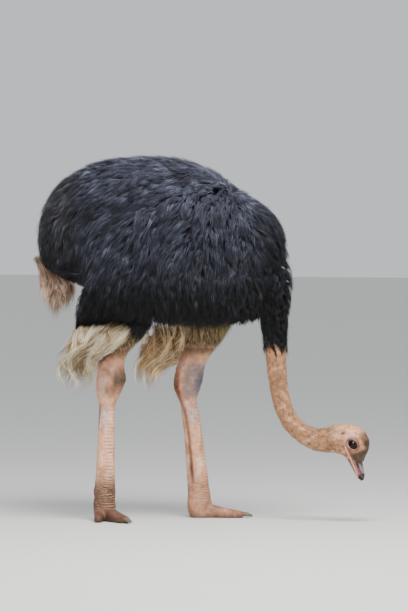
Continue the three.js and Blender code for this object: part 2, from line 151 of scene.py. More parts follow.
SIDES = (("right", -1.0), ("left", 1.0))
NECK_NODES = ["neck_lower", "neck_middle", "neck_upper"]
LEG_PARTS = ("hock", "shank", "foot", "big_toe", "outer_toe")
LEG_NODES = [f"{part}_{side}" for side, _ in SIDES for part in LEG_PARTS]
BODY_DEPTH = 0.036           # how deep the skin lies under the tips of the body's feathers
EDGE_DEPTH = 0.012           # the same where the feathers end on neck and thigh
NECK_DEPTH = 0.004
FACE_DEPTH = 0.002
JOIN = 0.0014                # how far parts are grown before they are fused, so that no joint line stays
WING_FLESH_END = 0.80        # height where the flesh of the folded wing ends and only feathers hang on
COARSE, FINE = 0.014, 0.0034 # spacing of the skin's faces on the body, and on neck and legs
FACE = 0.0036                # and on the face, where it is halved once more
SEAM_LEVEL = 0.660           # height at which the coarse and the fine part of the skin are joined
FACE_SEAM = 0.490            # how far forward the part of the face is joined to that of the neck
HEAD_FROM = 0.5              # how far forward the head begins
NECK_LEVELS = (0.575, 0.620, 0.660, 0.700, 0.740)
NECK_ROOT = [(0.276, 0.800, 0.042), (0.268, 0.865, 0.052), (0.240, 0.935, 0.062), (0.200, 1.000, 0.060)]
THIGH_LEVELS = (0.570, 0.605, 0.640, 0.685)
THIGH_ROOT = {
    "right": [(-0.274, -0.124, 0.735), (-0.190, -0.118, 0.900)],
    "left": [(-0.012, 0.119, 0.735), (0.040, 0.118, 0.900)],
}
THIGH_HALF = (0.074, 0.046)  # half length and half breadth of the thigh inside the body
BILL_ROOT = np.array((0.588, 0.0, 0.295))
BILL_TILT = math.radians(69)
BILL_FORWARD = np.array((math.cos(BILL_TILT), 0.0, -math.sin(BILL_TILT)))
BILL_UP = np.array((math.sin(BILL_TILT), 0.0, math.cos(BILL_TILT)))
FACE_END = 0.060             # how far forward on the bill the skin of the face reaches
BROW_START = 0.020
BROW_STATIONS = np.arange(0.018, 0.088, 0.002)
BROW_LINE = [(BROW_START, 0.0500), (0.030, 0.0440), (0.046, 0.0320), (0.057, 0.0195), (0.065, 0.0125),
             (0.072, 0.0070), (0.085, 0.0020)]     # from the crown to the bill: how far forward, how far up


def smooth_step(low, high, value):
    t = np.clip((value - low) / (high - low), 0.0, 1.0)
    return t * t * (3 - 2 * t)


def bell(value, middle, width):
    return np.exp(-(((value - middle) / width) ** 2))


def places_of(bm):
    return np.array([v.co for v in bm.verts]).reshape(-1, 3)


def normals_of(bm):
    bm.normal_update()
    return np.array([v.normal for v in bm.verts]).reshape(-1, 3)


def set_places(bm, places):
    for vert, place in zip(bm.verts, places):
        vert.co = place
    bm.normal_update()


def set_on_floor(bm, floor_level=0.0):
    at = places_of(bm)
    at[:, 2] = np.maximum(at[:, 2], floor_level)
    set_places(bm, at)


def everything(bm):
    return bm.verts[:] + bm.edges[:] + bm.faces[:]


def copy_of(*names):
    """Copies of CAD nodes in one bmesh, with each shared corner held once."""
    bm = bmesh.new()
    for name in names:
        bm.from_mesh(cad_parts[name].data)
    bmesh.ops.remove_doubles(bm, verts=bm.verts, dist=1e-5)
    return bm


def remeshed(parts, spacing):
    """The outer surface of several overlapping closed bodies, in even faces."""
    mesh = bpy.data.meshes.new("work")
    joined = bmesh.new()
    for part in parts:
        part.to_mesh(mesh)
        joined.from_mesh(mesh)
    joined.to_mesh(mesh)
    joined.free()
    work = bpy.data.objects.new("work", mesh)
    bpy.context.scene.collection.objects.link(work)
    voxels = work.modifiers.new("voxels", "REMESH")
    voxels.mode = "VOXEL"
    voxels.voxel_size = spacing
    made = bmesh.new()
    made.from_object(work, bpy.context.evaluated_depsgraph_get())
    bpy.data.objects.remove(work)
    bpy.data.meshes.remove(mesh)
    return made


def sunk(bm, depth):
    """Moves a surface inward along its normals, by one depth or by one for each of its points."""
    set_places(bm, places_of(bm) - normals_of(bm) * np.reshape(depth, (-1, 1)))
    return bm


def grown(*names):
    """Copies of CAD nodes, each grown enough to be fused with its neighbours."""
    return [sunk(copy_of(name), -JOIN) for name in names]


def smoothed(bm, times):
    for _ in range(times):
        bmesh.ops.smooth_vert(
            bm, verts=bm.verts, factor=0.5, use_axis_x=True, use_axis_y=True, use_axis_z=True)
    return bm


def cut_off(bm, place, toward):
    """Takes away what lies past a plane, on the side that `toward` points to."""
    bmesh.ops.bisect_plane(bm, geom=everything(bm), plane_co=place, plane_no=toward, clear_outer=True)
    return bm


def closed(bm):
    bmesh.ops.holes_fill(bm, edges=bm.edges)
    return bm


def section(names, level):
    """Middle and half breadths of CAD nodes where a level plane cuts them."""
    bm = copy_of(*names)
    made = bmesh.ops.bisect_plane(bm, geom=everything(bm), plane_co=(0, 0, level), plane_no=(0, 0, 1))
    at = np.array([part.co for part in made["geom_cut"] if isinstance(part, bmesh.types.BMVert)])
    bm.free()
    return (at.min(axis=0) + at.max(axis=0)) / 2, (at.max(axis=0) - at.min(axis=0)) / 2


def flesh_rings(names, levels, feathers_from, feathers_to):
    """Level ellipses inside CAD nodes, as deep as the coat is there. Its depth grows between two heights."""
    rings = []
    for level in levels:
        middle, half = section(names, level)
        bare = NECK_DEPTH if "neck_base" in names else 0.0
        depth = bare + (EDGE_DEPTH - bare) * smooth_step(feathers_from, feathers_to, level)
        rings.append((middle, half[0] - depth, half[1] - depth))
    return rings


def sleeve(rings):
    """A closed body through level ellipses. Each is its middle, half length and half breadth."""
    bm = bmesh.new()
    loops = []
    for middle, half_x, half_y in rings:
        shape = Matrix.Translation(middle) @ Matrix.Diagonal((half_x, half_y, 1, 1))
        made = bmesh.ops.create_circle(bm, cap_ends=False, segments=28, radius=1.0, matrix=shape)
        loops.append(dict.fromkeys(edge for vert in made["verts"] for edge in vert.link_edges))
    for low, high in zip(loops, loops[1:]):
        bmesh.ops.bridge_loops(bm, edges=[*low, *high])
    closed(bm)
    bmesh.ops.recalc_face_normals(bm, faces=bm.faces)
    return bm


def in_bill_frame(at):
    """How far forward along the bill and how far up from its middle places lie."""
    away = at - BILL_ROOT
    return away @ BILL_FORWARD, away @ BILL_UP


wings = [cut_off(copy_of(f"wing_{side}"), (0, 0, WING_FLESH_END), (0, 0, -1)) for side, _ in SIDES]
body_flesh = smoothed(remeshed([copy_of("trunk", "tail"), *[closed(wing) for wing in wings]], COARSE), 10)
for _ in range(4):
    smoothed(sunk(body_flesh, BODY_DEPTH / 4), 3)

rings = flesh_rings(["neck_lower", "neck_base"], NECK_LEVELS, 0.62, 0.74)
neck_root = sleeve(rings + [((x, 0, z), radius, radius) for x, z, radius in NECK_ROOT])
thighs = []
for side, _ in SIDES:
    rings = flesh_rings([f"hock_{side}", f"thigh_{side}"], THIGH_LEVELS, 0.60, 0.69)
    thighs.append(sleeve(rings + [(place, *THIGH_HALF) for place in THIGH_ROOT[side]]))

neck = sunk(smoothed(remeshed(grown(*NECK_NODES, "head"), FINE), 14), NECK_DEPTH)
legs = smoothed(remeshed(grown(*LEG_NODES), FINE), 10)
set_on_floor(legs)

# The skin of the face runs on over the root of the bill, and tapers from the crown down to it.
bill_core = copy_of("bill_upper", "bill_lower")
reach, _ = in_bill_frame(places_of(bill_core))
sunk(bill_core, -0.0034 + 0.0060 * smooth_step(FACE_END - 0.004, FACE_END + 0.006, reach))
closed(cut_off(bill_core, BILL_ROOT + BILL_FORWARD * (FACE_END + 0.03), BILL_FORWARD))
face = smoothed(remeshed([*grown("neck_upper", "head"), bill_core], FACE), 12)
sunk(face, NECK_DEPTH + (FACE_DEPTH - NECK_DEPTH) * smooth_step(0.50, 0.53, places_of(face)[:, 0]))
at = places_of(face)
forward, up = in_bill_frame(at)
on_head = at[:, 0] > HEAD_FROM
crown_line = [up[(np.abs(forward - station) < 0.003) & on_head].max() for station in BROW_STATIONS]
crown_line = np.interp(forward, BROW_STATIONS, crown_line)
brow_line = np.minimum(np.interp(forward, *np.transpose(BROW_LINE)), crown_line)
drop = (crown_line - brow_line) * np.clip(up / crown_line, 0, 1) * (forward > BROW_START) * on_head
set_places(face, at - drop[:, None] * BILL_UP)

SEAM_GAP = 0.005             # half the gap that is left between two parts of the skin, and bridged
coarse = smoothed(remeshed([body_flesh, neck_root, *thighs], COARSE), 5)
cut_off(coarse, (0, 0, SEAM_LEVEL + SEAM_GAP), (0, 0, -1))
limbs = [closed(cut_off(part, (0, 0, SEAM_LEVEL + 0.06), (0, 0, 1))) for part in (neck_root, *thighs)]
fine = smoothed(remeshed([*limbs, neck, legs], FINE), 3)
cut_off(fine, (0, 0, SEAM_LEVEL - SEAM_GAP), (0, 0, 1))
cut_off(fine, (FACE_SEAM - 0.003, 0, 0), (1, 0, 0))
cut_off(face, (FACE_SEAM + 0.003, 0, 0), (-1, 0, 0))
bmesh.ops.subdivide_edges(face, edges=face.edges, cuts=1, use_grid_fill=True)
smoothed(face, 2)

# ---------------------------------------------------------------- eyelids
# The skin of the face runs on as two lids, which slope in to a rim that bears on the eyeball. Behind the rim
# the skin turns back into the socket, out of sight.

OPENING_LENGTH, OPENING_BREADTH = 0.0185, 0.0140   # half sizes of the gap between the lids
OPENING_TILT = math.radians(18)
LID_START = 0.0250           # how far from the eye's middle the lids begin
LID_THICKNESS = 0.0013
LID_STEPS = 8
LID_WAVES = [                # a swelling near the rim and a furrow outside it: height, place and breadth,
    (0.0009, 0.72, 0.18),    # the last two as shares of the lid's width
    (-0.0016, 0.36, 0.13),
]


def eye_of(side):
    low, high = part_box(f"eye_{side}")
    return (np.array(low) + np.array(high)) / 2, (high[1] - low[1]) / 2


def lid_margin(turn):
    """How far the rim of the lids is from the eye's middle."""
    turn = turn - OPENING_TILT
    return 1 / np.hypot(np.cos(turn) / OPENING_LENGTH, np.sin(turn) / OPENING_BREADTH)


def extruded(bm, rim):
    made = bmesh.ops.extrude_edge_only(bm, edges=rim)["geom"]
    verts = [part for part in made if isinstance(part, bmesh.types.BMVert)]
    return verts, [part for part in made if isinstance(part, bmesh.types.BMEdge) and part.is_boundary]


def put_in_order(bm, parts, kept):
    """Gives new edges or faces a fixed order behind the kept ones. Extruding makes them in a varying order."""
    bm.verts.index_update()
    made = [part for part in parts if part not in kept]
    made.sort(key=lambda part: sorted(vert.index for vert in part.verts))
    order = {part: row for row, part in enumerate([*kept, *made])}
    parts.sort(key=order.get)


def open_lids(bm, side, sign):
    middle, radius = eye_of(side)
    eye_level = abs(middle[1])

    def around(vert):
        away = np.array(vert.co) - middle
        return away @ BILL_FORWARD, away @ BILL_UP

    def near(vert, reach):
        return sign * vert.co.y > 0.015 and math.hypot(*around(vert)) < reach

    def set_beside(vert, turn, away, height):
        place = middle + away * (math.cos(turn) * BILL_FORWARD + math.sin(turn) * BILL_UP)
        vert.co = (place[0], height, place[2])

    bmesh.ops.delete(bm, geom=[v for v in bm.verts if near(v, LID_START)], context="VERTS")
    kept_edges, kept_faces = dict.fromkeys(bm.edges), dict.fromkeys(bm.faces)
    rim = [e for e in bm.edges if e.is_boundary and all(near(v, LID_START * 1.3) for v in e.verts)]
    level = {}
    for vert in dict.fromkeys(v for edge in rim for v in edge.verts):
        forward, up = around(vert)
        set_beside(vert, math.atan2(up, forward), LID_START, vert.co.y)
        level[round(math.atan2(*around(vert)), 5)] = abs(vert.co.y)
    turns = np.array(sorted(level))
    levels = np.array([level[turn] for turn in turns])
    steps = [(share / LID_STEPS, None) for share in range(1, LID_STEPS + 1)]
    steps += [(1.0, "edge"), (1.0, "under"), (1.0, "behind")]
    for share, fold in steps:
        verts, rim = extruded(bm, rim)
        for vert in verts:
            forward, up = around(vert)
            turn = math.atan2(up, forward)
            outer = np.interp(math.atan2(forward, up), turns, levels, period=2 * math.pi)
            margin = lid_margin(turn)
            lid = eye_level + math.sqrt((radius + LID_THICKNESS) ** 2 - margin ** 2)
            away = LID_START + (margin - LID_START) * share
            height = outer + (lid - outer) * (share * share * (3 - 2 * share))
            height += sum(rise * bell(share, place, breadth) for rise, place, breadth in LID_WAVES)
            if fold == "edge":
                away, height = margin - 0.0007, lid - LID_THICKNESS * 0.5
            elif fold == "under":
                away, height = margin - 0.0003, lid - LID_THICKNESS * 1.6
            elif fold == "behind":
                away, height = margin * 0.6, eye_level + 0.004
            set_beside(vert, turn, away, sign * height)
    bmesh.ops.holes_fill(bm, edges=rim)
    put_in_order(bm, bm.edges, kept_edges)
    put_in_order(bm, bm.faces, kept_faces)


for side, sign in SIDES:
    open_lids(face, side, sign)

mesh = bpy.data.meshes.new("skin_parts")
for part in (coarse, face):
    part.to_mesh(mesh)
    fine.from_mesh(mesh)
bpy.data.meshes.remove(mesh)


def limb_of(edge):
    place = edge.verts[0].co
    if place.z < SEAM_LEVEL - 0.1:
        return "face"
    return "neck" if place.x > 0.1 else ("right" if place.y < 0 else "left")


open_edges = [e for e in fine.edges if e.is_boundary]
for limb in ("neck", "right", "left", "face"):
    bmesh.ops.bridge_loops(fine, edges=[e for e in open_edges if limb_of(e) == limb])
bmesh.ops.recalc_face_normals(fine, faces=fine.faces)

# ---------------------------------------------------------------- relief of the bare skin
# The shanks carry a row of broad horny plates in front and tendons behind. The skin over hocks, ankles and toes
# is creased and scaly, and the neck is wrinkled across. A slit marks the mouth up to the corner under the eye.

PLATE_PITCH = 0.013          # height of one horny plate on the shank
ANKLE_PITCH = 0.0085         # from one crease to the next at the ankle
NECK_PITCH = 0.0085
TOE_PITCH = 0.0095
TENDON_GROOVE = 2.1          # turn from the leg's front to the groove before the tendons, on either side
LEG_TOP = 0.64
MOUTH_LEVEL = -0.0255        # the mouth's slit below the eye, across the bill's line
EAR = (-0.050, -0.020)       # the ear's opening: how far forward of the eye and how far up
FOOT_TURN = {"right": math.radians(-45), "left": math.radians(7)}
FOOT_MIDDLE = {"right": (-0.341, -0.130), "left": (-0.043, 0.120)}
NECK_LINE = [(0.278, 0.760), (0.280, 0.690), (0.284, 0.640), (0.288, 0.580), (0.293, 0.520), (0.303, 0.462),
             (0.320, 0.410), (0.346, 0.366), (0.382, 0.333), (0.424, 0.312), (0.465, 0.305), (0.500, 0.308)]


def mottle(at, size, seed):
    """A smooth pattern from about -1 to 1 over places, with patches of one size."""
    draw = np.random.default_rng(seed)
    waves = draw.normal(size=(3, 7))
    waves *= 2 * math.pi / (size * np.linalg.norm(waves, axis=0))
    return np.clip(np.sin(at @ waves + draw.uniform(0, 2 * math.pi, 7)).mean(axis=1) * 2.0, -1, 1)


def along_neck(at):
    """How far along the neck's middle line places lie, their turn round it from its front, and its way there."""
    line = np.array([(x, 0.0, z) for x, z in NECK_LINE])
    starts, steps = line[:-1], np.diff(line, axis=0)
    lengths = np.linalg.norm(steps, axis=1)
    before = np.concatenate([[0], np.cumsum(lengths)[:-1]])
    away = at[:, None, :] - starts[None]
    share = np.clip((away * steps).sum(axis=2) / lengths ** 2, 0, 1)
    off = away - share[..., None] * steps
    best = np.linalg.norm(off, axis=2).argmin(axis=1)
    rows = np.arange(len(at))
    way = steps[best] / lengths[best][:, None]
    outward = np.stack([-way[:, 2], np.zeros(len(at)), way[:, 0]], axis=1)
    turn = np.arctan2(at[:, 1], (off[rows, best] * outward).sum(axis=1))
    return before[best] + share[rows, best] * lengths[best], turn, way


def round_leg(leg, side):
    """The turn of places round a leg, from the front of its foot, and how far before its middle they lie."""
    levels = np.linspace(0.09, 0.63, 19)
    cuts = [section([f"{part}_{side}" for part in ("foot", "shank", "hock", "thigh")], z) for z in levels]
    mid = [np.interp(leg[:, 2], levels, [middle[axis] for middle, _ in cuts]) for axis in (0, 1)]
    half = np.interp(leg[:, 2], levels, [half[0] for _, half in cuts])
    foot_turn = FOOT_TURN[side] * smooth_step(0.5, 0.3, leg[:, 2])
    turn = np.arctan2(leg[:, 1] - mid[1], leg[:, 0] - mid[0]) - foot_turn
    return (turn + math.pi) % (2 * math.pi) - math.pi, (leg[:, 0] - mid[0]) / half


def leg_pattern(leg, turn, side):
    """What marks a leg's skin at its places.

    Gives how much each place is shank, the grooves between the shank's plates, the waves of the ankle's creases,
    how far from the foot's middle it lies and the grooves between the scales of the toes.
    """
    height = leg[:, 2]
    shank = smooth_step(0.115, 0.16, height) * smooth_step(0.45, 0.40, height)
    plate_at = (height + 0.0025 * np.cos(turn * 1.5) + 0.001 * mottle(leg, 0.04, 5)) / PLATE_PITCH
    plate_groove = np.abs(2 * (plate_at % 1) - 1) ** 5
    crease_at = height + 0.004 * mottle(leg, 0.03, 8) + 0.006 * np.cos(turn)
    crease = np.sin(2 * math.pi * crease_at / ANKLE_PITCH)
    reach = np.hypot(leg[:, 0] - FOOT_MIDDLE[side][0], leg[:, 1] - FOOT_MIDDLE[side][1])
    toe_groove = np.abs(2 * ((reach / TOE_PITCH) % 1) - 1) ** 4
    return shank, plate_groove, crease, reach, toe_groove


at = places_of(fine)
out = normals_of(fine)
relief = np.zeros(len(at))
leg_of, turn_of, share_of = {}, {}, {}
for side, sign in SIDES:
    leg_of[side] = (at[:, 2] < LEG_TOP) & (at[:, 0] < 0.18) & (sign * at[:, 1] > 0)
    leg, height = at[leg_of[side]], at[leg_of[side]][:, 2]
    turn_of[side], share_of[side] = round_leg(leg, side)
    turn = turn_of[side]
    shank, plate_groove, crease, reach, toe_groove = leg_pattern(leg, turn, side)
    bump = 0.0018 * (1 - plate_groove) * bell(turn, 0, 0.62) * shank + 0.0016 * bell(turn, 0, 0.75) * shank
    for groove in (-TENDON_GROOVE, TENDON_GROOVE):
        bump -= 0.0032 * bell(turn, groove, 0.30) * shank
    bump += 0.0022 * bell(np.abs(turn), math.pi, 0.45) * shank
    ankle = smooth_step(0.185, 0.10, height) * smooth_step(0.035, 0.06, height)
    folds = 0.0012 * crease * ankle * (0.35 + 0.65 * bell(turn, 0.2, 1.1))
    bump += folds + 0.0012 * mottle(leg, 0.016, 9) * ankle
    toes = smooth_step(0.050, 0.036, height) * smooth_step(0.02, 0.05, reach)
    bump += 0.0013 * (1 - toe_groove) * toes * smooth_step(0.2, 0.7, out[leg_of[side]][:, 2])
    hock = smooth_step(0.435, 0.47, height) * smooth_step(0.60, 0.56, height)
    bump += hock * (0.0012 * mottle(leg, 0.018, 11) + 0.0006 * mottle(leg, 0.008, 12))
    if side == "left":
        for behind in (math.pi, -math.pi):
            bump += 0.0050 * bell(turn, behind, 0.8) * bell(height, 0.487, 0.042)
        bump += 0.0025 * bell(turn, 0.0, 0.7) * bell(height, 0.520, 0.03)
    else:
        bump += 0.0060 * bell(turn, 0.0, 0.75) * bell(height, 0.528, 0.024)
        swirl = np.sin((height - 0.523) * 520 + 5.0 * turn)
        bump += 0.0011 * swirl * bell(turn, -0.7, 0.6) * bell(height, 0.52, 0.025)
    relief[leg_of[side]] += bump

on_neck = (at[:, 0] > 0.2) & (at[:, 2] < 0.66) & (at[:, 0] < 0.53)
neck_at = at[on_neck]
run, _, _ = along_neck(neck_at)
wrinkle = np.sin(2 * math.pi * (run + 0.0030 * mottle(neck_at, 0.05, 21)) / NECK_PITCH)
relief[on_neck] += 0.0006 * wrinkle * (0.4 + 0.6 * (mottle(neck_at, 0.07, 22) > 0))
relief[on_neck] += 0.0012 * mottle(neck_at, 0.05, 23)

forward, up = in_bill_frame(at)
on_head = at[:, 0] > HEAD_FROM
beside = smooth_step(0.010, 0.022, np.abs(at[:, 1])) * on_head
lid = bell(np.hypot(forward / 1.12, up), 0.021, 0.004)
brow = bell(up - 0.024 + 6 * (forward - 0.003) ** 2, 0, 0.006) * bell(forward, 0.0, 0.026)
relief += 0.0022 * brow * beside * (1 - lid)
mouth = smooth_step(-0.004, 0.010, forward) * beside
relief -= 0.0034 * bell(up, MOUTH_LEVEL, 0.0013) * mouth
relief += 0.0013 * bell(up, MOUTH_LEVEL - 0.0032, 0.0020) * mouth
relief += 0.0009 * bell(up, MOUTH_LEVEL + 0.0030, 0.0018) * mouth
relief += 0.0020 * bell(forward, -0.008, 0.005) * bell(up, -0.031, 0.007) * beside
ear = bell(forward, EAR[0], 0.0055) * bell(up, EAR[1], 0.0075) * beside
relief -= 0.0034 * ear
relief += 0.0014 * bell(np.hypot(forward - EAR[0], (up - EAR[1]) / 1.3), 0.0095, 0.003) * beside
relief += 0.0009 * mottle(at, 0.022, 31) * on_head * (1 - lid)
set_places(fine, at + out * relief[:, None])
set_on_floor(fine)

# ---------------------------------------------------------------- colours of the skin
# Bare ostrich skin is pinkish tan, greyer and scurfy where it creases, with horn-brown plates and rusty callus
# behind the hock. Under the down of neck and head it is the down's own tan, and black under the black feathers.

MM = 0.001
TINT_DEPTH = 1.28            # soft light and the film's tone pale a colour, so a tint is laid on deeper
# The ankle's darkness is partly its own tone and partly painted shade, much deeper on the right ankle; the
# creases' darkness is painted shade.
ANKLE_TONE_AND_SHADE = {"right": (0.88, 0.95), "left": (0.42, 0.70)}    # how dark the ankle and its creases are


def tint(hex_colour):
    return np.array(linear(hex_colour)[:3]) ** TINT_DEPTH


def painted(colours, *layers):
    """Lays paint over colours, layer by layer. Each is its colour and how much of it lies at each place."""
    for hex_colour, amount in layers:
        amount = np.reshape(amount, (-1, 1))
        colours = colours * (1 - amount) + tint(hex_colour) * amount
    return colours


def plain_tones(hex_colour, count):
    return np.tile(tint(hex_colour), (count, 1))


def paint(mesh, tones):
    """Gives each point of a mesh its own colour."""
    layer = mesh.color_attributes.new(name="tone", type="FLOAT_COLOR", domain="POINT")
    layer.data.foreach_set("color", np.column_stack([tones, np.ones(len(tones))]).astype(np.float32).ravel())


at = places_of(fine)
skin_tones = plain_tones("#E4B090", len(at))
for side, _ in SIDES:
    leg, height = at[leg_of[side]], at[leg_of[side]][:, 2]
    turn, share = turn_of[side], share_of[side]
    shank, plate_groove, crease, reach, toe_groove = leg_pattern(leg, turn, side)
    lit_side_streak = smooth_step(0.2, 0.8, mottle(leg * np.array((1, 1, 0.16)), 0.020, 43))
    front = bell(turn, 0, 0.6) * shank
    # Painted shade in the grooves before the tendons, deepest just above the ankle.
    tendon_groove_shade = []
    for groove in (-TENDON_GROOVE, TENDON_GROOVE):
        tendon_groove_shade.append(("#5A3A2B", 0.72 * bell(turn, groove, 0.26) * shank))
        tendon_groove_shade.append(("#452B20", 0.60 * bell(turn, groove, 0.24) * bell(height, 0.185, 0.060)))
    ankle = smooth_step(0.20, 0.11, height)
    off_toes = smooth_step(0.035, 0.06, height)
    ankle_tone_and_shade, crease_shade = ANKLE_TONE_AND_SHADE[side]
    between = toe_groove * (1 - off_toes) * smooth_step(0.05, 0.07, reach)
    hock = smooth_step(0.43, 0.47, height) * smooth_step(0.61, 0.56, height)
    hock_paint = {
        "left": [
            ("#948B8A", 0.74 * hock * smooth_step(-0.5, 0.1, share)),
            ("#59606E", 0.80 * hock * smooth_step(0.45, 0.95, share) * bell(height, 0.515, 0.045)),
            ("#7A4428", 0.92 * smooth_step(-0.30, -0.62, share) * bell(height, 0.492, 0.060) ** 0.6),
            ("#8078A0", 0.45 * bell(share, -0.7, 0.3) * bell(height, 0.585, 0.022)),
        ],
        "right": [
            ("#382E26", 0.94 * hock * smooth_step(0.15, 0.60, share) * bell(height, 0.525, 0.040)),
            ("#7A5038", 0.70 * bell(turn, -1.5, 0.6) * bell(height, 0.490, 0.022)),
            ("#C8BAB2", 0.60 * bell(turn, -1.9, 0.35) * bell(height, 0.515, 0.045)),
            ("#D9A994", 0.50 * hock * smooth_step(-0.25, -0.8, share)),
            ("#7B6350", 0.38 * hock * smooth_step(-0.7, 0.2, share)),
        ],
    }
    skin_tones[leg_of[side]] = painted(
        skin_tones[leg_of[side]],
        ("#996B50", 0.48 * smooth_step(-0.1, 0.8, mottle(leg, 0.06, 41))),
        ("#EBCDB9", 0.55 * smooth_step(0.1, 0.9, mottle(leg, 0.045, 42))),
        # Painted highlight: pale streaks and a pale grey band on the side of each shank that faces the lights.
        ("#EFC8AC", 0.75 * lit_side_streak * shank * bell(turn, -0.9, 0.9)),
        ("#C9BEC0", 0.60 * bell(height, 0.385, 0.040) * bell(turn, -1.2, 0.8)),
        ("#EAC6AA", 0.55 * front * (1 - plate_groove)),
        ("#5F3C2B", 0.90 * front * plate_groove),
        *tendon_groove_shade,
        # Painted shade darkens the ankle, most on the right, and the troughs of its creases; a painted highlight
        # pales the creases' crests.
        ("#634431", ankle_tone_and_shade * ankle),
        ("#3B261B", crease_shade * ankle * off_toes * smooth_step(0.2, -0.7, crease) * bell(turn, 0, 1.4)),
        ("#D8AF94", 0.50 * ankle * off_toes * smooth_step(0.2, 0.9, crease) * bell(turn, 0, 1.3)),
        ("#543A2D", 0.70 * between),
        ("#3E2A20", 0.55 * smooth_step(0.03, 0.0, height)),
        *hock_paint[side],
        ("#76623E", 0.74 * smooth_step(0.575, 0.635, height)),
    )

down = (at[:, 0] > 0.2) & (at[:, 2] < 0.72)
down_at = at[down]
spots = 0.6 * mottle(down_at, 0.018, 51) + 0.6 * mottle(down_at, 0.009, 54)
skin_tones[down] = painted(
    plain_tones("#B68D6C", len(down_at)),
    ("#765538", 0.78 * smooth_step(0.15, 0.8, spots)),
    ("#E2BE9E", 0.50 * smooth_step(0.1, 0.8, mottle(down_at, 0.026, 52))),
)
head = at[:, 0] > HEAD_FROM
forward, up = in_bill_frame(at)
crown = head * smooth_step(-0.010, -0.035, forward) * smooth_step(-0.045, 0.0, up)
lid_share = np.hypot(forward, up) / lid_margin(np.arctan2(up, forward))
slit = bell(up, MOUTH_LEVEL + 0.0004, 0.0021) * smooth_step(0.0, 0.012, forward)
lips = smooth_step(-0.006, 0.006, forward) * head
thigh = (at[:, 0] < 0.15) & (at[:, 2] < 0.76) & (at[:, 2] > 0.60)
skin_tones = painted(
    skin_tones,
    ("#7D5A45", 0.65 * bell(at[:, 2], 0.525, 0.032) * bell(at[:, 0], 0.302, 0.022) * down),
    ("#EFB48C", 0.86 * crown * smooth_step(-0.7, 0.4, mottle(at, 0.020, 55))),
    ("#4E3E32", 0.94 * head * smooth_step(0.028, 0.044, up) * bell(forward, 0.014, 0.036)),
    ("#43372C", 0.88 * head * smooth_step(0.024, 0.042, forward) * smooth_step(-0.030, -0.022, up)),
    ("#E3BFA4", 0.45 * head * smooth_step(-0.028, -0.045, forward)),
    ("#C9BCB6", 0.85 * head * bell(forward, -0.0275, 0.0065) * bell(up, 0.002, 0.019)),
    ("#8F6A66", 0.80 * head * bell(np.hypot(forward / 1.16, up), 0.0225, 0.0035)),
    ("#AE7C86", 0.75 * head * bell(up, -0.0205, 0.0050) * bell(forward, -0.006, 0.016)),
    ("#2A1D18", 0.92 * head * bell(lid_share, 1.02, 0.11)),
    # Painted shade: the mouth's slit is darkened to near black.
    ("#1C100D", 0.96 * head * slit),
    ("#F0B6A4", 0.95 * bell(up, MOUTH_LEVEL - 0.0042, 0.0030) * lips),
    ("#A8706A", 0.60 * bell(up, MOUTH_LEVEL + 0.0032, 0.0022) * lips),
    # Painted shade in the ear's pit.
    ("#3B2A24", 0.85 * ear),
    ("#0E0E12", smooth_step(0.625, 0.70, at[:, 2])),
    ("#5E4A3C", thigh * smooth_step(0.60, 0.67, at[:, 2]) * smooth_step(0.76, 0.71, at[:, 2])),
)


def colour_from_tone(tree, shader, pattern, spread, reach=(0.3, 0.7)):
    """Makes the base colour from a mesh's tones, which a pattern darkens and pales from one share to another."""
    tone = node(tree, "ShaderNodeAttribute", attribute_name="tone").outputs["Color"]
    uneven = node(tree, "ShaderNodeMapRange", [("Value", pattern)], From_Min=reach[0], From_Max=reach[1],
                  To_Min=spread[0], To_Max=spread[1])
    shade = node(tree, "ShaderNodeMix", data_type="RGBA", blend_type="MULTIPLY", Factor=1.0)
    tree.links.new(tone, shade.inputs[6])
    tree.links.new(uneven.outputs["Result"], shade.inputs[7])
    tree.links.new(shade.outputs[2], shader.inputs["Base Color"])


# Skin: matt, with a faint waxy shine on the bare legs, fine scales about 3 mm across and scurfy pale flecks.
bare_skin, tree, shader = new_material("bare_ostrich_skin", roughness=0.58, specular=0.38)
place = node(tree, "ShaderNodeTexCoord").outputs["Object"]
flecks = node(tree, "ShaderNodeTexNoise", [("Vector", place)], Scale=1 / (14 * MM), Detail=5.0, Roughness=0.65)
colour_from_tone(tree, shader, flecks.outputs["Fac"], spread=(0.62, 1.34), reach=(0.25, 0.75))
scales = node(tree, "ShaderNodeTexVoronoi", [("Vector", place)], feature="DISTANCE_TO_EDGE",
              Scale=1 / (3.6 * MM))
edge = node(tree, "ShaderNodeMapRange", [("Value", scales.outputs["Distance"])], From_Max=0.16)
grain = node(tree, "ShaderNodeTexNoise", [("Vector", place)], Scale=1 / (1.8 * MM), Detail=3.0)
rough = node(tree, "ShaderNodeBump", [("Height", grain.outputs["Fac"])], Strength=0.30, Distance=0.0006)
scaly = node(tree, "ShaderNodeBump", [("Height", edge.outputs["Result"]), ("Normal", rough.outputs["Normal"])],
             Strength=0.45, Distance=0.0006)
tree.links.new(scaly.outputs["Normal"], shader.inputs["Normal"])

skin = from_bmesh(fine, "skin", bare_skin)
paint(skin.data, skin_tones)
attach(skin, "root")
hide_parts("trunk", "tail", "wing_right", "wing_left", "neck_base", *NECK_NODES, "head",
            "thigh_right", "thigh_left", *LEG_NODES)

# ---------------------------------------------------------------- eyes
# An eyeball in each socket: a dark brown iris round a wide black pupil, under a clear wet cornea.

IRIS_EDGE, PUPIL_EDGE = 0.0170, 0.0105      # half breadths of iris and pupil
CORNEA_RISE = 0.0009
IRIS_LINES = 32

# Cornea: clear and wet, so it mirrors the lights as sharp small points.
wet_eye, tree, shader = new_material("wet_eyeball", roughness=0.06, specular=0.38)
shader.inputs["IOR"].default_value = 1.38
tone = node(tree, "ShaderNodeAttribute", attribute_name="tone")
tree.links.new(tone.outputs["Color"], shader.inputs["Base Color"])

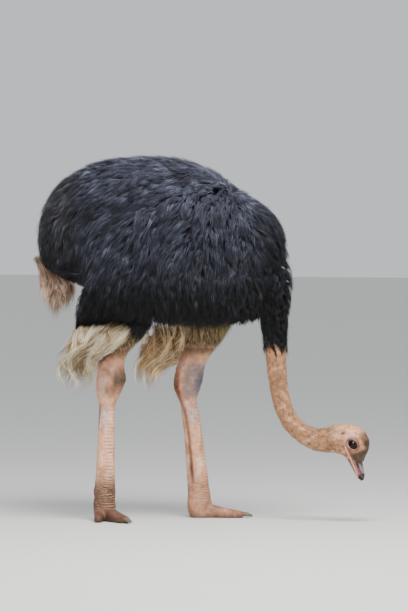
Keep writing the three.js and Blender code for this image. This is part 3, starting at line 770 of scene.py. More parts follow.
for side, sign in SIDES:
    middle, radius = eye_of(side)
    bm = bmesh.new()
    bmesh.ops.create_uvsphere(bm, u_segments=64, v_segments=48, radius=radius)
    bmesh.ops.rotate(bm, verts=bm.verts, matrix=Matrix.Rotation(math.radians(-90 * sign), 3, "X"))
    at = places_of(bm)
    wide = np.hypot(at[:, 0], at[:, 2])
    facing = sign * at[:, 1] > 0
    at[:, 1] += sign * CORNEA_RISE * facing * smooth_step(0.0125, 0.004, wide)
    set_places(bm, at + middle)
    lines = 0.5 + 0.5 * np.sin(np.arctan2(at[:, 2], at[:, 0]) * IRIS_LINES + 3 * mottle(at, 0.004, 3))
    tones = painted(
        plain_tones("#241409", len(at)),
        ("#4A2A16", 0.50 * lines * smooth_step(PUPIL_EDGE, IRIS_EDGE, wide)),
        ("#030303", 1 - smooth_step(PUPIL_EDGE - 0.0008, PUPIL_EDGE + 0.0008, wide) * facing),
        ("#1A110C", smooth_step(IRIS_EDGE - 0.001, IRIS_EDGE, wide)),
    )
    eye = from_bmesh(bm, f"eyeball_{side}", wet_eye)
    paint(eye.data, tones)
    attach(eye, "root")
    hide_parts(f"eye_{side}")

# ---------------------------------------------------------------- bill
# Two horny sheaths over bone, grown into the skin of the face. The upper ends in a dark nail, and has a long
# nostril on each side. The lower has a fleshy pink edge along the mouth.

HORN_SPACING = 0.0016
NAIL_START = 0.111           # how far along the bill its dark nail begins

# Horn: smooth keratin, pinkish grey with streaks along its length, and a soft polish.
bill_horn, tree, shader = new_material("smooth_bill_keratin", roughness=0.36, specular=0.30)
place = node(tree, "ShaderNodeTexCoord").outputs["Object"]
along_bill = node(tree, "ShaderNodeMapping", [("Vector", place)], vector_type="TEXTURE",
                  Rotation=(0.0, BILL_TILT, 0.0), Scale=(9.0, 1.0, 1.0))
streaks = node(tree, "ShaderNodeTexNoise", [("Vector", along_bill.outputs["Vector"])],
               Scale=1 / (4 * MM), Detail=4.0)
colour_from_tone(tree, shader, streaks.outputs["Fac"], spread=(0.62, 1.36))
rough = node(tree, "ShaderNodeBump", [("Height", streaks.outputs["Fac"])], Strength=0.25, Distance=0.0005)
tree.links.new(rough.outputs["Normal"], shader.inputs["Normal"])


def horn_of(name, swelling, smoothing):
    """A copy of a CAD node in fine even faces, grown a little so that smoothing leaves it its size."""
    horn = smoothed(remeshed([sunk(copy_of(name), -swelling)], HORN_SPACING), smoothing)
    return horn, places_of(horn), normals_of(horn)


for name in ("bill_upper", "bill_lower"):
    horn, at, out = horn_of(name, 0.0006, 8)
    forward, up = in_bill_frame(at)
    aside = smooth_step(0.006, 0.012, np.abs(at[:, 1]))
    tones = plain_tones("#6F5B59", len(at))
    if name == "bill_upper":
        nostril = bell(up, -0.0150, 0.0022) * smooth_step(0.068, 0.073, forward)
        nostril = nostril * smooth_step(0.093, 0.087, forward) * aside
        groove = bell(up, -0.0148, 0.0032) * smooth_step(0.112, 0.098, forward) * aside
        nail_edge = bell(forward + 0.0009 * np.cos(at[:, 1] * 260), NAIL_START, 0.0016)
        nail = smooth_step(NAIL_START - 0.002, NAIL_START + 0.008, forward)
        nail_top = smooth_step(NAIL_START, NAIL_START + 0.006, forward) * smooth_step(0.138, 0.126, forward)
        mouth_edge = bell(up, MOUTH_LEVEL + 0.003, 0.0026) * smooth_step(0.125, 0.105, forward)
        relief = 0.0012 * nail_top - 0.0030 * nostril - 0.0012 * groove - 0.0008 * nail_edge
        tones = painted(
            tones,
            # Painted highlight: a pale lilac band along each side of the upper bill.
            ("#B9A4AC", 0.75 * bell(up, -0.0075, 0.0032) * smooth_step(0.07, 0.09, forward)),
            ("#5B4344", 0.60 * bell(np.abs(at[:, 1]), 0.0, 0.005)),
            # Painted shade: the groove before the nostril is darkened, and the nostril itself painted nearly
            # black.
            ("#6E4C52", 0.70 * groove),
            ("#C78F8B", 0.75 * mouth_edge),
            ("#150D0C", 0.95 * nostril),
            ("#120E0F", 0.96 * nail),
            # Painted highlight: a paler spot on the side of the black nail.
            ("#8E7C86", 0.35 * nail * bell(up, -0.0160, 0.0035) * bell(forward, 0.123, 0.008)),
        )
    else:
        relief = 0.0006 * bell(up, MOUTH_LEVEL - 0.0045, 0.0022)
        mouth_edge = bell(up, MOUTH_LEVEL - 0.0036, 0.0032) * smooth_step(0.128, 0.10, forward)
        tones = painted(
            tones,
            ("#9A6F63", 0.8),
            ("#EFB3A1", 0.95 * mouth_edge),
            ("#463630", 0.75 * smooth_step(0.112, 0.128, forward)),
        )
    set_places(horn, at + out * relief[:, None])
    bill = from_bmesh(horn, f"horn_{name}", bill_horn)
    paint(bill.data, tones)
    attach(bill, "root")
    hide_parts(name)

# ---------------------------------------------------------------- nails
# One blunt nail on each big toe, worn by walking. It is ridged keratin, grown over the toe's last bone.

RIDGE_PITCH = 0.006
RIDGE_HEIGHT = 0.0002

# Nail: worn keratin, grey-brown, dull where it rubs the ground.
nail_horn, tree, shader = new_material("worn_nail_keratin", roughness=0.48)
place = node(tree, "ShaderNodeTexCoord").outputs["Object"]
grain = node(tree, "ShaderNodeTexNoise", [("Vector", place)], Scale=1 / (6 * MM), Detail=6.0, Roughness=0.7)
wear = node(tree, "ShaderNodeValToRGB", [("Fac", grain.outputs["Fac"])])
for stop, position, colour in zip(wear.color_ramp.elements, (0.30, 0.72), ("#3A2E28", "#8D7767")):
    stop.position = position
    stop.color = linear(colour)
tree.links.new(wear.outputs["Color"], shader.inputs["Base Color"])
rough = node(tree, "ShaderNodeBump", [("Height", grain.outputs["Fac"])], Strength=0.4, Distance=0.0008)
tree.links.new(rough.outputs["Normal"], shader.inputs["Normal"])

for side, _ in SIDES:
    horn, at, out = horn_of(f"nail_{side}", 0.0008, 10)
    across = at @ np.array((-math.sin(FOOT_TURN[side]), math.cos(FOOT_TURN[side]), 0.0))
    set_places(horn, at + out * (RIDGE_HEIGHT * np.sin(across * 2 * math.pi / RIDGE_PITCH))[:, None])
    set_on_floor(horn, 0.0002)
    nail = from_bmesh(horn, f"nail_horn_{side}", nail_horn)
    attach(nail, "root")
    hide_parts(f"nail_{side}")

# ---------------------------------------------------------------- body feathers
# Loose black feathers cover trunk, rump, wings and the root of the neck. Their barbs don't hook together, so
# they lie in soft pointed tufts. They part at the shoulder and sweep back along the top and down the flanks.

SHOULDER = (0.185, 0.170, 1.170)      # where the lie of the feathers starts, on each side
FEATHERED = ["trunk", "tail", "wing_right", "wing_left", "neck_base", "thigh_right", "thigh_left",
             "neck_lower", "neck_middle", "hock_right", "hock_left"]
OUTLINE_SPACING = 0.010
NECK_EDGE = 0.668            # height where black feathers end on the neck
THIGH_EDGE = 0.755
TUFT_AREA = 175e-6           # skin that one tuft covers
TUFT_STRANDS = 7
STRAND_WIDTH = 0.0031
TUFT_STEPS = 6
TIP_SLACK = 0.014            # how far past its allowance a tip may reach before the tuft is made shorter
BODY_BACK, BODY_FRONT = -0.64, 0.34   # the ends of the drum that the body is unwrapped on
BODY_MIDDLE = 1.0            # and the height of its middle line
PATCH = 0.003                # side of a tuft's patch on the unwrap
MOST_TRIANGLES = 185000      # of one coat piece
HANG_FROM = -0.30            # how far a surface faces down where feathers leave it and hang
BLACKS = ["#0C0C0E", "#131418", "#1B1C22", "#272931", "#3A3D47", "#56565B"]
DOWNWARD = np.array((0.0, 0.0, -1.0))


def strand_shape(levels):
    """A three-sided pointed strand of unit length: its points' shares of the length, places round and faces."""
    bm = bmesh.new()
    bmesh.ops.create_cone(bm, cap_ends=True, cap_tris=False, segments=3, radius1=1.0, radius2=0.0, depth=1.0,
                          matrix=Matrix.Translation((0, 0, 0.5)))
    bmesh.ops.remove_doubles(bm, verts=bm.verts, dist=1e-6)
    for level in levels:
        bmesh.ops.bisect_plane(bm, geom=everything(bm), plane_co=(0, 0, level), plane_no=(0, 0, 1))
    bm.verts.index_update()
    at = places_of(bm)
    shares = np.round(at[:, 2], 5)
    sides = at[:, :2] / np.maximum(1 - shares, 1e-4)[:, None]
    sides[shares > 0.9999] = 0
    faces = [[vert.index for vert in face.verts] for face in bm.faces]
    bm.free()
    return shares, sides, faces


def unit(vectors):
    return vectors / np.maximum(np.linalg.norm(vectors, axis=-1, keepdims=True), 1e-9)


def laid_flat(aim, up):
    """Directions turned to lie along a surface."""
    return unit(aim - up * (aim * up).sum(axis=1, keepdims=True))


def nearest(tree, points):
    found = [tree.find_nearest(Vector(point)) for point in points]
    return np.array([hit[0] for hit in found]), np.array([hit[1] for hit in found])


class Surface:
    """Triangles of a bmesh that roots are drawn from."""

    def __init__(self, bm):
        self.corners = np.array([[loop.vert.co for loop in three] for three in bm.calc_loop_triangles()])
        first, second, third = np.moveaxis(self.corners, 1, 0)
        cross = np.cross(second - first, third - first)
        self.areas = np.linalg.norm(cross, axis=1) / 2
        self.normals = unit(cross)
        self.middles = self.corners.mean(axis=1)

    def roots(self, share, area, rng):
        """Evenly spread places and normals. `share` says how thickly each triangle is grown over."""
        wanted = np.cumsum(self.areas * share)
        count = int(wanted[-1] / area)
        marks = (np.arange(count) + rng.random(count)) * wanted[-1] / count
        rows = np.minimum(np.searchsorted(wanted, marks), len(wanted) - 1)
        a, b = rng.random((2, count, 1))
        a, b = np.where(a + b > 1, 1 - a, a), np.where(a + b > 1, 1 - b, b)
        first, second, third = np.moveaxis(self.corners[rows], 1, 0)
        return first + a * (second - first) + b * (third - first), self.normals[rows]


def traced(tree, roots, normals, lie, lengths, heights, steps, hangs=False, below=DOWNWARD):
    """Middle lines of tufts that lie along a surface, rise off it and hang free where it turns under."""
    base, up = roots.copy(), normals.copy()
    lines, ups = [roots - 0.003 * normals], [normals]
    stride = (lengths / (steps - 1))[:, None]
    free = np.zeros(len(roots), bool)
    for step in range(1, steps):
        near, near_up = nearest(tree, base + lie(base, up) * stride)
        free |= hangs & (near_up[:, 2] < HANG_FROM)
        rise = heights * smooth_step(0, 0.55, step / (steps - 1))
        lying = near + near_up * rise[:, None]
        before = lines[-1] - lines[-2] if step > 1 else lie(base, up) * stride
        fallen = lines[-1] + unit(unit(before) * 0.45 + below * 0.75) * stride
        lines.append(np.where(free[:, None], fallen, lying))
        base = np.where(free[:, None], base, near)
        up = np.where(free[:, None], up, near_up)
        ups.append(up)
    return np.stack(lines, axis=1), np.stack(ups, axis=1)


def along(lines, place):
    """Points of lines at places counted in steps: lines (tufts, steps, 3), place (tufts, ...)."""
    low = np.clip(place.astype(int), 0, lines.shape[1] - 2)
    rows = np.arange(len(lines)).reshape((-1,) + (1,) * (place.ndim - 1))
    part = (place - low)[..., None]
    return lines[rows, low] * (1 - part) + lines[rows, low + 1] * part, lines[rows, low + 1] - lines[rows, low]


def outside(tree, lines):
    """How far points of lines lie outside a surface, and its normals there."""
    points = lines.reshape(-1, 3)
    near, near_up = nearest(tree, points)
    past = ((points - near) * near_up).sum(axis=1)
    return past.reshape(lines.shape[:2]), near_up.reshape(lines.shape)


def kept_inside(tree, lines, ups, allowance):
    """Shortens tufts that would reach past an outline by more than their allowance, and draws the rest in."""
    steps = lines.shape[1]
    for _ in range(2):
        past, _ = outside(tree, lines)
        far = past > allowance[:, None] + TIP_SLACK
        far[:, :2] = False
        first = np.where(far.any(axis=1), far.argmax(axis=1) - 0.5, steps - 1)
        place = np.linspace(0, 1, steps)[None, :] * np.maximum(first, 1.2)[:, None]
        lines, _ = along(lines, place)
        ups, _ = along(ups, place)
    past, past_up = outside(tree, lines)
    excess = np.clip(past - allowance[:, None], 0, 0.02)
    excess[:, 0] = 0
    return lines - past_up * excess[..., None], ups


def woven(lines, ups, shape, strands, spread, gather, width, rng, shorter=0.3, stray=0.002, flat=0.5, wave=0.0,
          taper=3.0):
    """Strands of tufts round their middle lines: points (tufts, strands, points, 3)."""
    shares, sides, _ = shape
    tufts, steps = lines.shape[:2]
    levels, row = np.unique(shares, return_inverse=True)
    ends = 1 - shorter * rng.random((tufts, strands, 1))
    place = levels * ends * (steps - 1)
    middle, ahead = along(lines, place)
    outward, _ = along(ups, place)
    ahead = unit(ahead)
    across = unit(np.cross(ahead, outward))
    outward = np.cross(across, ahead)
    offset = np.linspace(-1, 1, strands)[None, :] + rng.uniform(-0.25, 0.25, (tufts, strands))
    spread = np.reshape(spread, (-1, 1, 1))
    waves = levels * rng.uniform(3, 8, (tufts, strands, 1))
    sway = wave * np.sin(waves + rng.uniform(0, 6.3, (tufts, strands, 1)))
    sideways = offset[..., None] * spread * (1 - gather * levels ** 1.2) + sway * levels
    lift = rng.normal(0, 1, (tufts, strands, 1)) * stray * (0.3 + levels)
    middle = middle + across * sideways[..., None] + outward * lift[..., None]
    half = np.reshape(width, (-1, 1, 1)) / 2 * (0.45 + 0.55 * smooth_step(0, 0.3, levels))
    half = half * (1 - levels ** taper) * rng.uniform(0.6, 1.4, (tufts, strands, 1))
    points = middle[:, :, row] + across[:, :, row] * (half[:, :, row] * sides[:, 0])[..., None]
    return points + outward[:, :, row] * (half[:, :, row] * sides[:, 1] * flat)[..., None]


def grown_coat(name, points, shape, tones, patches, material):
    """Joins strands into coat pieces under the most triangles allowed. Tones are (tufts, strands, points, 3)."""
    shares, sides, faces = shape
    tufts, strands = points.shape[:2]
    flat = np.concatenate([np.array(face) for face in faces])
    starts = np.concatenate([[0], np.cumsum([len(face) for face in faces])[:-1]])
    triangles = sum(len(face) - 2 for face in faces)
    most = MOST_TRIANGLES // (triangles * strands)
    pieces = []
    for part, first in enumerate(range(0, tufts, most)):
        rows = slice(first, first + most)
        at = points[rows].reshape(-1, 3)
        count = len(at) // len(shares)
        mesh = bpy.data.meshes.new(f"{name}_{part + 1}")
        mesh.vertices.add(len(at))
        mesh.vertices.foreach_set("co", at.astype(np.float32).ravel())
        mesh.loops.add(count * len(flat))
        mesh.polygons.add(count * len(faces))
        first_point = (np.arange(count) * len(shares))[:, None]
        mesh.loops.foreach_set("vertex_index", (first_point + flat).astype(np.int32).ravel())
        first_loop = (np.arange(count) * len(flat))[:, None]
        mesh.polygons.foreach_set("loop_start", (first_loop + starts).astype(np.int32).ravel())
        mesh.polygons.foreach_set("use_smooth", np.ones(count * len(faces), bool))
        mesh.update(calc_edges=True)
        paint(mesh, np.broadcast_to(tones[rows], points[rows].shape).reshape(-1, 3))
        column = (np.arange(strands)[:, None] + 0.5 + 0.4 * sides[flat, 0]) / strands
        inside = np.stack([column, np.broadcast_to(shares[flat], column.shape)], axis=-1) * PATCH
        own = patches[rows][:, None, None, :] * (1 - PATCH) + inside[None]
        mesh.uv_layers.new(name="OFBake").data.foreach_set("uv", own.astype(np.float32).ravel())
        piece = bpy.data.objects.new(mesh.name, mesh)
        bpy.context.scene.collection.objects.link(piece)
        mesh.materials.append(material)
        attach(piece, "root")
        pieces.append(piece)
    return pieces


def on_drum(at):
    """Places on an unwrap of the body as a drum: along it, and the turn round its middle line."""
    turn = np.arctan2(at[:, 1], at[:, 2] - BODY_MIDDLE)
    along_body = np.clip((at[:, 0] - BODY_BACK) / (BODY_FRONT - BODY_BACK), 0, 1)
    return np.column_stack([along_body, (turn / math.pi + 1) / 2])


def random_tones(colours, weights, count, rng, spread=0.16):
    """A colour for each of many tufts, drawn from named ones and varied in brightness."""
    rows = rng.choice(len(colours), size=count, p=np.array(weights) / sum(weights))
    tints = np.array([tint(colour) for colour in colours])
    return tints[rows] * rng.normal(1, spread, (count, 1)).clip(0.4, 1.8)


def shaded_roots(tones, shape, root_light, reach):
    """Darkens strands toward their roots, over a share of their length, as the coat above shades them."""
    return tones * (root_light + (1 - root_light) * smooth_step(0, reach, shape[0][None, None, :, None]))


def body_lie(at, up, waver):
    aside = np.clip(at[:, 1] / 0.12, -1, 1)
    origin = np.array(SHOULDER) * np.column_stack([np.ones(len(at)), aside, np.ones(len(at))])
    away = at - origin
    away /= np.linalg.norm(away, axis=1, keepdims=True) + 0.07
    drop = 0.85 + 1.05 * smooth_step(-0.36, -0.56, at[:, 0])
    aim = 0.66 * away + drop[:, None] * DOWNWARD
    aim[:, 0] -= 0.14 * smooth_step(0.4, 0.9, up[:, 2])
    under = smooth_step(-0.45, -0.80, up[:, 2])[:, None]
    aim = laid_flat(aim * (1 - under) + np.array((-1.0, 0.0, 0.0)) * under, up)
    swirl = 0.30 * mottle(at, 0.19, 61) + 0.20 * mottle(at, 0.06, 62) + 0.12 * mottle(at, 0.025, 66) + waver
    return aim * np.cos(swirl)[:, None] + np.cross(up, aim) * np.sin(swirl)[:, None]


def parting_of(at):
    """Nearness to the place over the shoulders from which the feathers lie forward and back."""
    return bell(at[:, 0], 0.120, 0.055) * bell(at[:, 1], 0.0, 0.075) * smooth_step(1.08, 1.14, at[:, 2])


def backward_fall(roots, most, start, end, waver=0.0):
    """The way in which free feathers fall: down, and back the more the farther back they grow."""
    back = -most * smooth_step(start, end, roots[:, 0]) + waver
    return np.column_stack([back, np.zeros(len(roots)), -np.ones(len(roots))])


def painted_sheen(at, up):
    """Painted sheen: how much paler feathers are painted high on the body, most where they face the sky,
    blue-grey there and browner at the rump and low down.
    """
    sky = smooth_step(-0.1, 0.95, up[:, 2]) * (0.8 + 0.4 * mottle(at, 0.10, 64))
    high = smooth_step(0.83, 1.03, at[:, 2]) * (0.9 + 0.4 * mottle(at, 0.07, 67))
    ahead = smooth_step(0.14, 0.27, at[:, 0])
    behind = smooth_step(-0.36, -0.46, at[:, 0])
    lift = (0.95 * high + 1.05 * sky * high) * (1 - 0.85 * ahead)
    lift *= 1 - 0.45 * behind * smooth_step(1.14, 1.00, at[:, 2])
    brown = np.clip(smooth_step(0.92, 0.80, at[:, 2]) + 0.8 * behind, 0, 1)[:, None]
    tint_and_painted_light = np.array((0.036, 0.038, 0.055)) * (1 - brown) + np.array((0.040, 0.038, 0.041)) * brown
    return (lift[:, None] * tint_and_painted_light)[:, None, None, :]


def black_tones(weights, spread, roots, normals, rng):
    """Tones of black feathers: each tuft has its own, strands vary, and a painted blue-grey sheen pales those
    high up that face the sky.
    """
    count = len(roots)
    tones = random_tones(BLACKS, weights, count, rng, spread)[:, None, None, :]
    of_tufts = rng.normal(1, 0.28, (count, 1, 1, 1)).clip(0.3, 2.2)
    of_strands = rng.normal(1, 0.32, (count, TUFT_STRANDS, 1, 1)).clip(0.3, 2.2)
    return (tones + painted_sheen(roots, normals)) * (of_tufts * of_strands)


# Down and vanes of loose barbs: black, with a faint blue-grey sheen painted into their tones where they face the
# sky.
body_feather, tree, shader = new_material("loose_black_feather", roughness=0.62, specular=0.35)
place = node(tree, "ShaderNodeTexCoord").outputs["Object"]
wear = node(tree, "ShaderNodeTexNoise", [("Vector", place)], Scale=1 / (55 * MM), Detail=3.0)
colour_from_tone(tree, shader, wear.outputs["Fac"], spread=(0.55, 1.5))

rng = np.random.default_rng(7)
skin_bm = bmesh.new()
skin_bm.from_mesh(skin.data)
skin_tree = BVHTree.FromBMesh(skin_bm)
skin_surface = Surface(skin_bm)
outline_tree = BVHTree.FromBMesh(remeshed(grown(*FEATHERED), OUTLINE_SPACING))

at, up = skin_surface.middles, skin_surface.normals
ragged = NECK_EDGE + 0.034 * mottle(at, 0.014, 63)
on_neck = (at[:, 0] > 0.2) & (at[:, 2] < 0.80)
on_thigh = (at[:, 2] < THIGH_EDGE) & (at[:, 0] < 0.15)
black = (at[:, 2] > 0.62) & ~on_thigh & (~on_neck | (at[:, 2] > ragged)) & (at[:, 0] <= 0.4)
thick = 1 + 0.5 * smooth_step(0.90, 0.76, at[:, 2]) + 0.5 * (up[:, 2] > 0.5) + 1.4 * on_neck
thick = black * (thick - 0.6 * smooth_step(-0.55, -0.8, up[:, 2]) + 1.6 * parting_of(at))
roots, normals = skin_surface.roots(thick, TUFT_AREA, rng)
count = len(roots)
edge_at, _ = nearest(outline_tree, roots)
depth = np.clip(np.linalg.norm(edge_at - roots, axis=1), 0.004, 0.045)
hangs = (np.abs(roots[:, 1]) > 0.05) & (normals[:, 2] > -0.55) & (roots[:, 0] < 0.27)
lengths = np.clip(2.5 * depth, 0.035, 0.095) * rng.uniform(0.85, 1.2, count)
low_edge = smooth_step(0.94, 0.85, roots[:, 2]) * hangs
lengths *= 1 + (0.75 + 1.15 * smooth_step(-0.10, -0.30, roots[:, 0])) * low_edge
lengths = np.where((roots[:, 0] > 0.22) & (roots[:, 2] < 0.82), rng.uniform(0.040, 0.062, count), lengths)
parting = parting_of(roots)
heights = depth * rng.uniform(0.72, 1.12, count) * (1 - 0.30 * parting)
waver = rng.normal(0, 1, count) * (0.20 + 0.40 * parting)
lines, ups = traced(skin_tree, roots, normals, lambda at, up: body_lie(at, up, waver), lengths, heights,
                    TUFT_STEPS, hangs, backward_fall(roots, 0.42, -0.15, -0.36))
lines, ups = kept_inside(outline_tree, lines, ups, rng.uniform(-0.004, 0.006, count))
on_neck = (roots[:, 0] > 0.22) & (roots[:, 2] < 0.80)
body_strand = strand_shape((0.45,))
points = woven(lines, ups, body_strand, TUFT_STRANDS, np.where(on_neck, 0.0042, 0.0090), 0.72,
               np.where(on_neck, 0.0022, STRAND_WIDTH), rng, shorter=0.45, stray=0.0030)

tones = black_tones([24, 28, 25, 15, 7, 0.8], 0.15, roots, normals, rng)
# Painted light: an olive cast, as of light bounced up from green ground, on the downward-facing feathers under
# the middle of the body.
painted_ground_light = (smooth_step(0.0, -0.45, normals[:, 2]) * bell(roots[:, 0], 0.0, 0.19) * (roots[:, 2] < 0.82)
         * smooth_step(-0.5, 0.3, mottle(roots, 0.05, 65)))[:, None, None, None]
tones = tones * (1 - painted_ground_light) + tint("#8A8440") * painted_ground_light * rng.uniform(0.15, 1.0, (count, 1, 1, 1))
pale_tips = 1 + 0.30 * smooth_step(0.7, 1.0, body_strand[0][None, None, :, None])
tones = shaded_roots(tones, body_strand, 0.35, 0.6) * pale_tips

patches = on_drum(roots)
regions = {
    "rump": roots[:, 0] < -0.36,
    "breast": roots[:, 0] > 0.13,
    "flank_right": (roots[:, 1] < 0) & (normals[:, 2] > -0.4),
    "flank_left": (roots[:, 1] >= 0) & (normals[:, 2] > -0.4),
    "belly": np.ones(count, bool),
}
taken = np.zeros(count, bool)
for name, wanted in regions.items():
    rows = wanted & ~taken
    taken |= rows
    grown_coat(f"feathers_{name}", points[rows], body_strand, tones[rows], patches[rows], body_feather)

# ---------------------------------------------------------------- hems of wings and tail
# The long feathers of the wings' lower edges and of the tail hang past the flesh, to ragged points. They grow
# from just inside the outline, so no cut edge shows.

HEM_DEPTH = 0.013
HEM_AREA = 165e-6


def hem_lie(at, up, waver):
    aim = backward_fall(at, 0.62, -0.02, -0.40, waver)
    aim[at[:, 2] > 0.86, 0] *= 0.4
    return laid_flat(aim, up)


hem_bm = remeshed([copy_of(name) for name in ("wing_right", "wing_left", "tail")], OUTLINE_SPACING)
sunk(hem_bm, HEM_DEPTH)
hem = Surface(hem_bm)
at, up = hem.middles, hem.normals
of_tail = (np.abs(at[:, 1]) < 0.20) & (at[:, 0] < -0.43) & (at[:, 2] > 0.86)
outer = np.where(up[:, 1] * np.sign(at[:, 1]) > -0.3, 1.0, 0.7) * (1 + 0.5 * smooth_step(0.82, 0.77, at[:, 2]))
outer *= 1 + 0.6 * smooth_step(-0.28, -0.34, at[:, 0]) * smooth_step(0.86, 0.82, at[:, 2])
thick = np.where(of_tail, smooth_step(1.03, 0.97, at[:, 2]), outer * smooth_step(0.95, 0.82, at[:, 2]))
roots, normals = hem.roots(thick, HEM_AREA, rng)
count = len(roots)
waver = rng.normal(0.05, 0.16, count)
lengths = rng.uniform(0.045, 0.100, count)
heights = rng.uniform(0.004, 0.015, count)
lines, ups = traced(BVHTree.FromBMesh(hem_bm), roots, normals, lambda at, up: hem_lie(at, up, waver), lengths,
                    heights, TUFT_STEPS, True, backward_fall(roots, 0.35, -0.05, -0.36, waver * 0.5))
lines, ups = kept_inside(outline_tree, lines, ups, rng.uniform(-0.022, 0.009, count))
points = woven(lines, ups, body_strand, TUFT_STRANDS, 0.0085, 0.75, 0.0030, rng, shorter=0.50, stray=0.0035)
tones = shaded_roots(black_tones([24, 30, 24, 14, 7, 1], 0.22, roots, normals, rng), body_strand, 0.35, 0.6)
grown_coat("feathers_rims", points, body_strand, tones, on_drum(roots), body_feather)

# ---------------------------------------------------------------- black tuft on the flank
# A wisp of long black feathers falls from under the right wing before the thigh.

FLANK_TUFTS, FLANK_STRANDS = 170, 6


def hung_lines(name, tufts, steps, rng, shortest, sway, root_share, locks, cut=0.0, rise=0.12):
    """Middle lines of locks that fill a hanging CAD node, from its upper part down to various ends.

    They start up to `rise` above the node, turned in under the body, or as far as `root_share` down it.
    """
    low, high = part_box(name)
    levels = np.linspace(high[2] - 0.012 - cut, low[2] + 0.002, 14)
    cuts = [section([name], level) for level in levels]
    middles = np.array([middle for middle, _ in cuts])
    halves = np.array([half for _, half in cuts])
    rows = np.linspace(0, 1, len(levels))
    top_way = (middles[0] - middles[3]) / (rows[3] - rows[0])
    end_way = (middles[-1] - middles[-4]) / (rows[3] - rows[0])
    beside = np.sign(middles[0, 1]) * (abs(middles[0, 1]) > 0.1)
    turn, off = rng.uniform(0, 2 * math.pi, tufts), np.sqrt(rng.random(tufts))
    starts = rng.uniform(-rise, root_share, tufts)
    lock = rng.integers(0, locks, tufts)
    lock_turn = (np.arange(locks) + rng.uniform(-0.3, 0.3, locks)) * 2 * math.pi / locks
    lock_off = rng.uniform(0.55, 1.30, locks) * (1 + 0.6 * np.abs(np.cos(lock_turn)))
    lock_end = rng.uniform(shortest, 1.14, locks)
    ends = np.clip(lock_end[lock] - 0.35 * rng.random(tufts) ** 1.5, starts + 0.25, 1.10)
    phases = rng.uniform(0, 2 * math.pi, (2, tufts))
    lines = []
    for step in range(steps):
        bend = step / (steps - 1)
        share = starts + (ends - starts) * bend
        inside = np.clip(share, 0, 1)
        middle = np.stack([np.interp(inside, rows, middles[:, axis]) for axis in range(3)], axis=1)
        half = np.stack([np.interp(inside, rows, halves[:, axis]) for axis in range(2)], axis=1)
        above = np.maximum(0, -share)
        middle += above[:, None] * top_way + np.maximum(0, share - 1)[:, None] * end_way
        middle[:, 1] -= beside * 0.45 * above
        drawn = 0.80 * bend ** 1.4
        deep = (1 - 0.6 * (1 - smooth_step(0, 0.35, bend)) * (starts > 0.0)) * off * (1 - drawn)
        ahead = deep * np.cos(turn) + (lock_off * np.cos(lock_turn))[lock] * drawn
        aside = deep * np.sin(turn) + (lock_off * np.sin(lock_turn))[lock] * drawn
        middle[:, 0] += ahead * half[:, 0] + sway * bend * np.sin(6.0 * bend + phases[0])
        middle[:, 1] += aside * half[:, 1] + sway * bend * np.sin(5.0 * bend + phases[1])
        lines.append(middle)
    sideward = np.sin(turn) + 0.8 * np.sign(middles[0, 1] + 1e-6)
    outward = np.column_stack([0.5 * np.cos(turn), sideward, np.zeros(tufts)])
    ups = np.repeat(unit(outward)[:, None, :], steps, axis=1)
    patches = np.column_stack([(turn / math.pi / 2) % 1, np.clip(starts + 0.12, 0, 1) * 0.9 + 0.05 * off])
    return np.stack(lines, axis=1), ups, patches, off, turn


long_strand = strand_shape((0.22, 0.46, 0.72))
lines, ups, patches, _, _ = hung_lines(
    "flank_tuft_right", FLANK_TUFTS, 6, rng, shortest=0.55, sway=0.006, root_share=0.45, locks=7)
points = woven(lines, ups, long_strand, FLANK_STRANDS, 0.0085, 0.7, 0.0034, rng, shorter=0.45, stray=0.004)
tones = random_tones(BLACKS, [24, 30, 24, 13, 5, 1], FLANK_TUFTS * FLANK_STRANDS, rng)
tones = tones.reshape(-1, FLANK_STRANDS, 1, 3)
made = grown_coat("tuft_flank_right", points, long_strand, tones, patches, body_feather)
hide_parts("flank_tuft_right")

# ---------------------------------------------------------------- plumes of wings and tail
# Long soft plumes hang from under the wings and from the tail. Their barbs fall apart into thin wavy strands,
# cream at the tips of the wing plumes with tan and brown shadow between, and browner on the tail.

CREAMS = ["#EADFCB", "#D8C9B0", "#BBA588", "#93795C", "#6A5443"]
TANS = ["#E4D6C8", "#CAB6A4", "#A78F7D", "#826C5C", "#5B4C43"]
PLUME_STEPS = 9
PLUMES = {
    "wing_plumes_right": dict(
        tufts=250, strands=11, spread=0.0095, colours=CREAMS, weights=[30, 28, 20, 14, 8],
        tint_and_painted_light=(1.0, 1.0, 0.92), slot="wing_plumes",
        hang=dict(sway=0.009, shortest=0.60, locks=15, cut=0.085, rise=0.30)),
    "wing_plumes_left": dict(
        tufts=230, strands=10, spread=0.0095, colours=CREAMS, weights=[18, 28, 26, 18, 10],
        tint_and_painted_light=(2.1, 2.05, 1.85), slot="wing_plumes",
        hang=dict(sway=0.010, shortest=0.64, locks=9, cut=0.085, rise=0.30)),
    "tail_plumes": dict(
        tufts=230, strands=10, spread=0.0085, colours=TANS, weights=[16, 24, 27, 20, 13],
        tint_and_painted_light=(1.9, 1.85, 1.80), slot="tail_plumes",
        hang=dict(sway=0.006, shortest=0.70, locks=13, cut=0.0, rise=0.20)),
}

# Loose plume barbs: fine dull keratin, so they scatter light and never shine.
pale_plume, tree, shader = new_material("loose_cream_plume", roughness=0.75, specular=0.25)
place = node(tree, "ShaderNodeTexCoord").outputs["Object"]
stains = node(tree, "ShaderNodeTexNoise", [("Vector", place)], Scale=1 / (40 * MM), Detail=4.0)
colour_from_tone(tree, shader, stains.outputs["Fac"], spread=(0.70, 1.25))

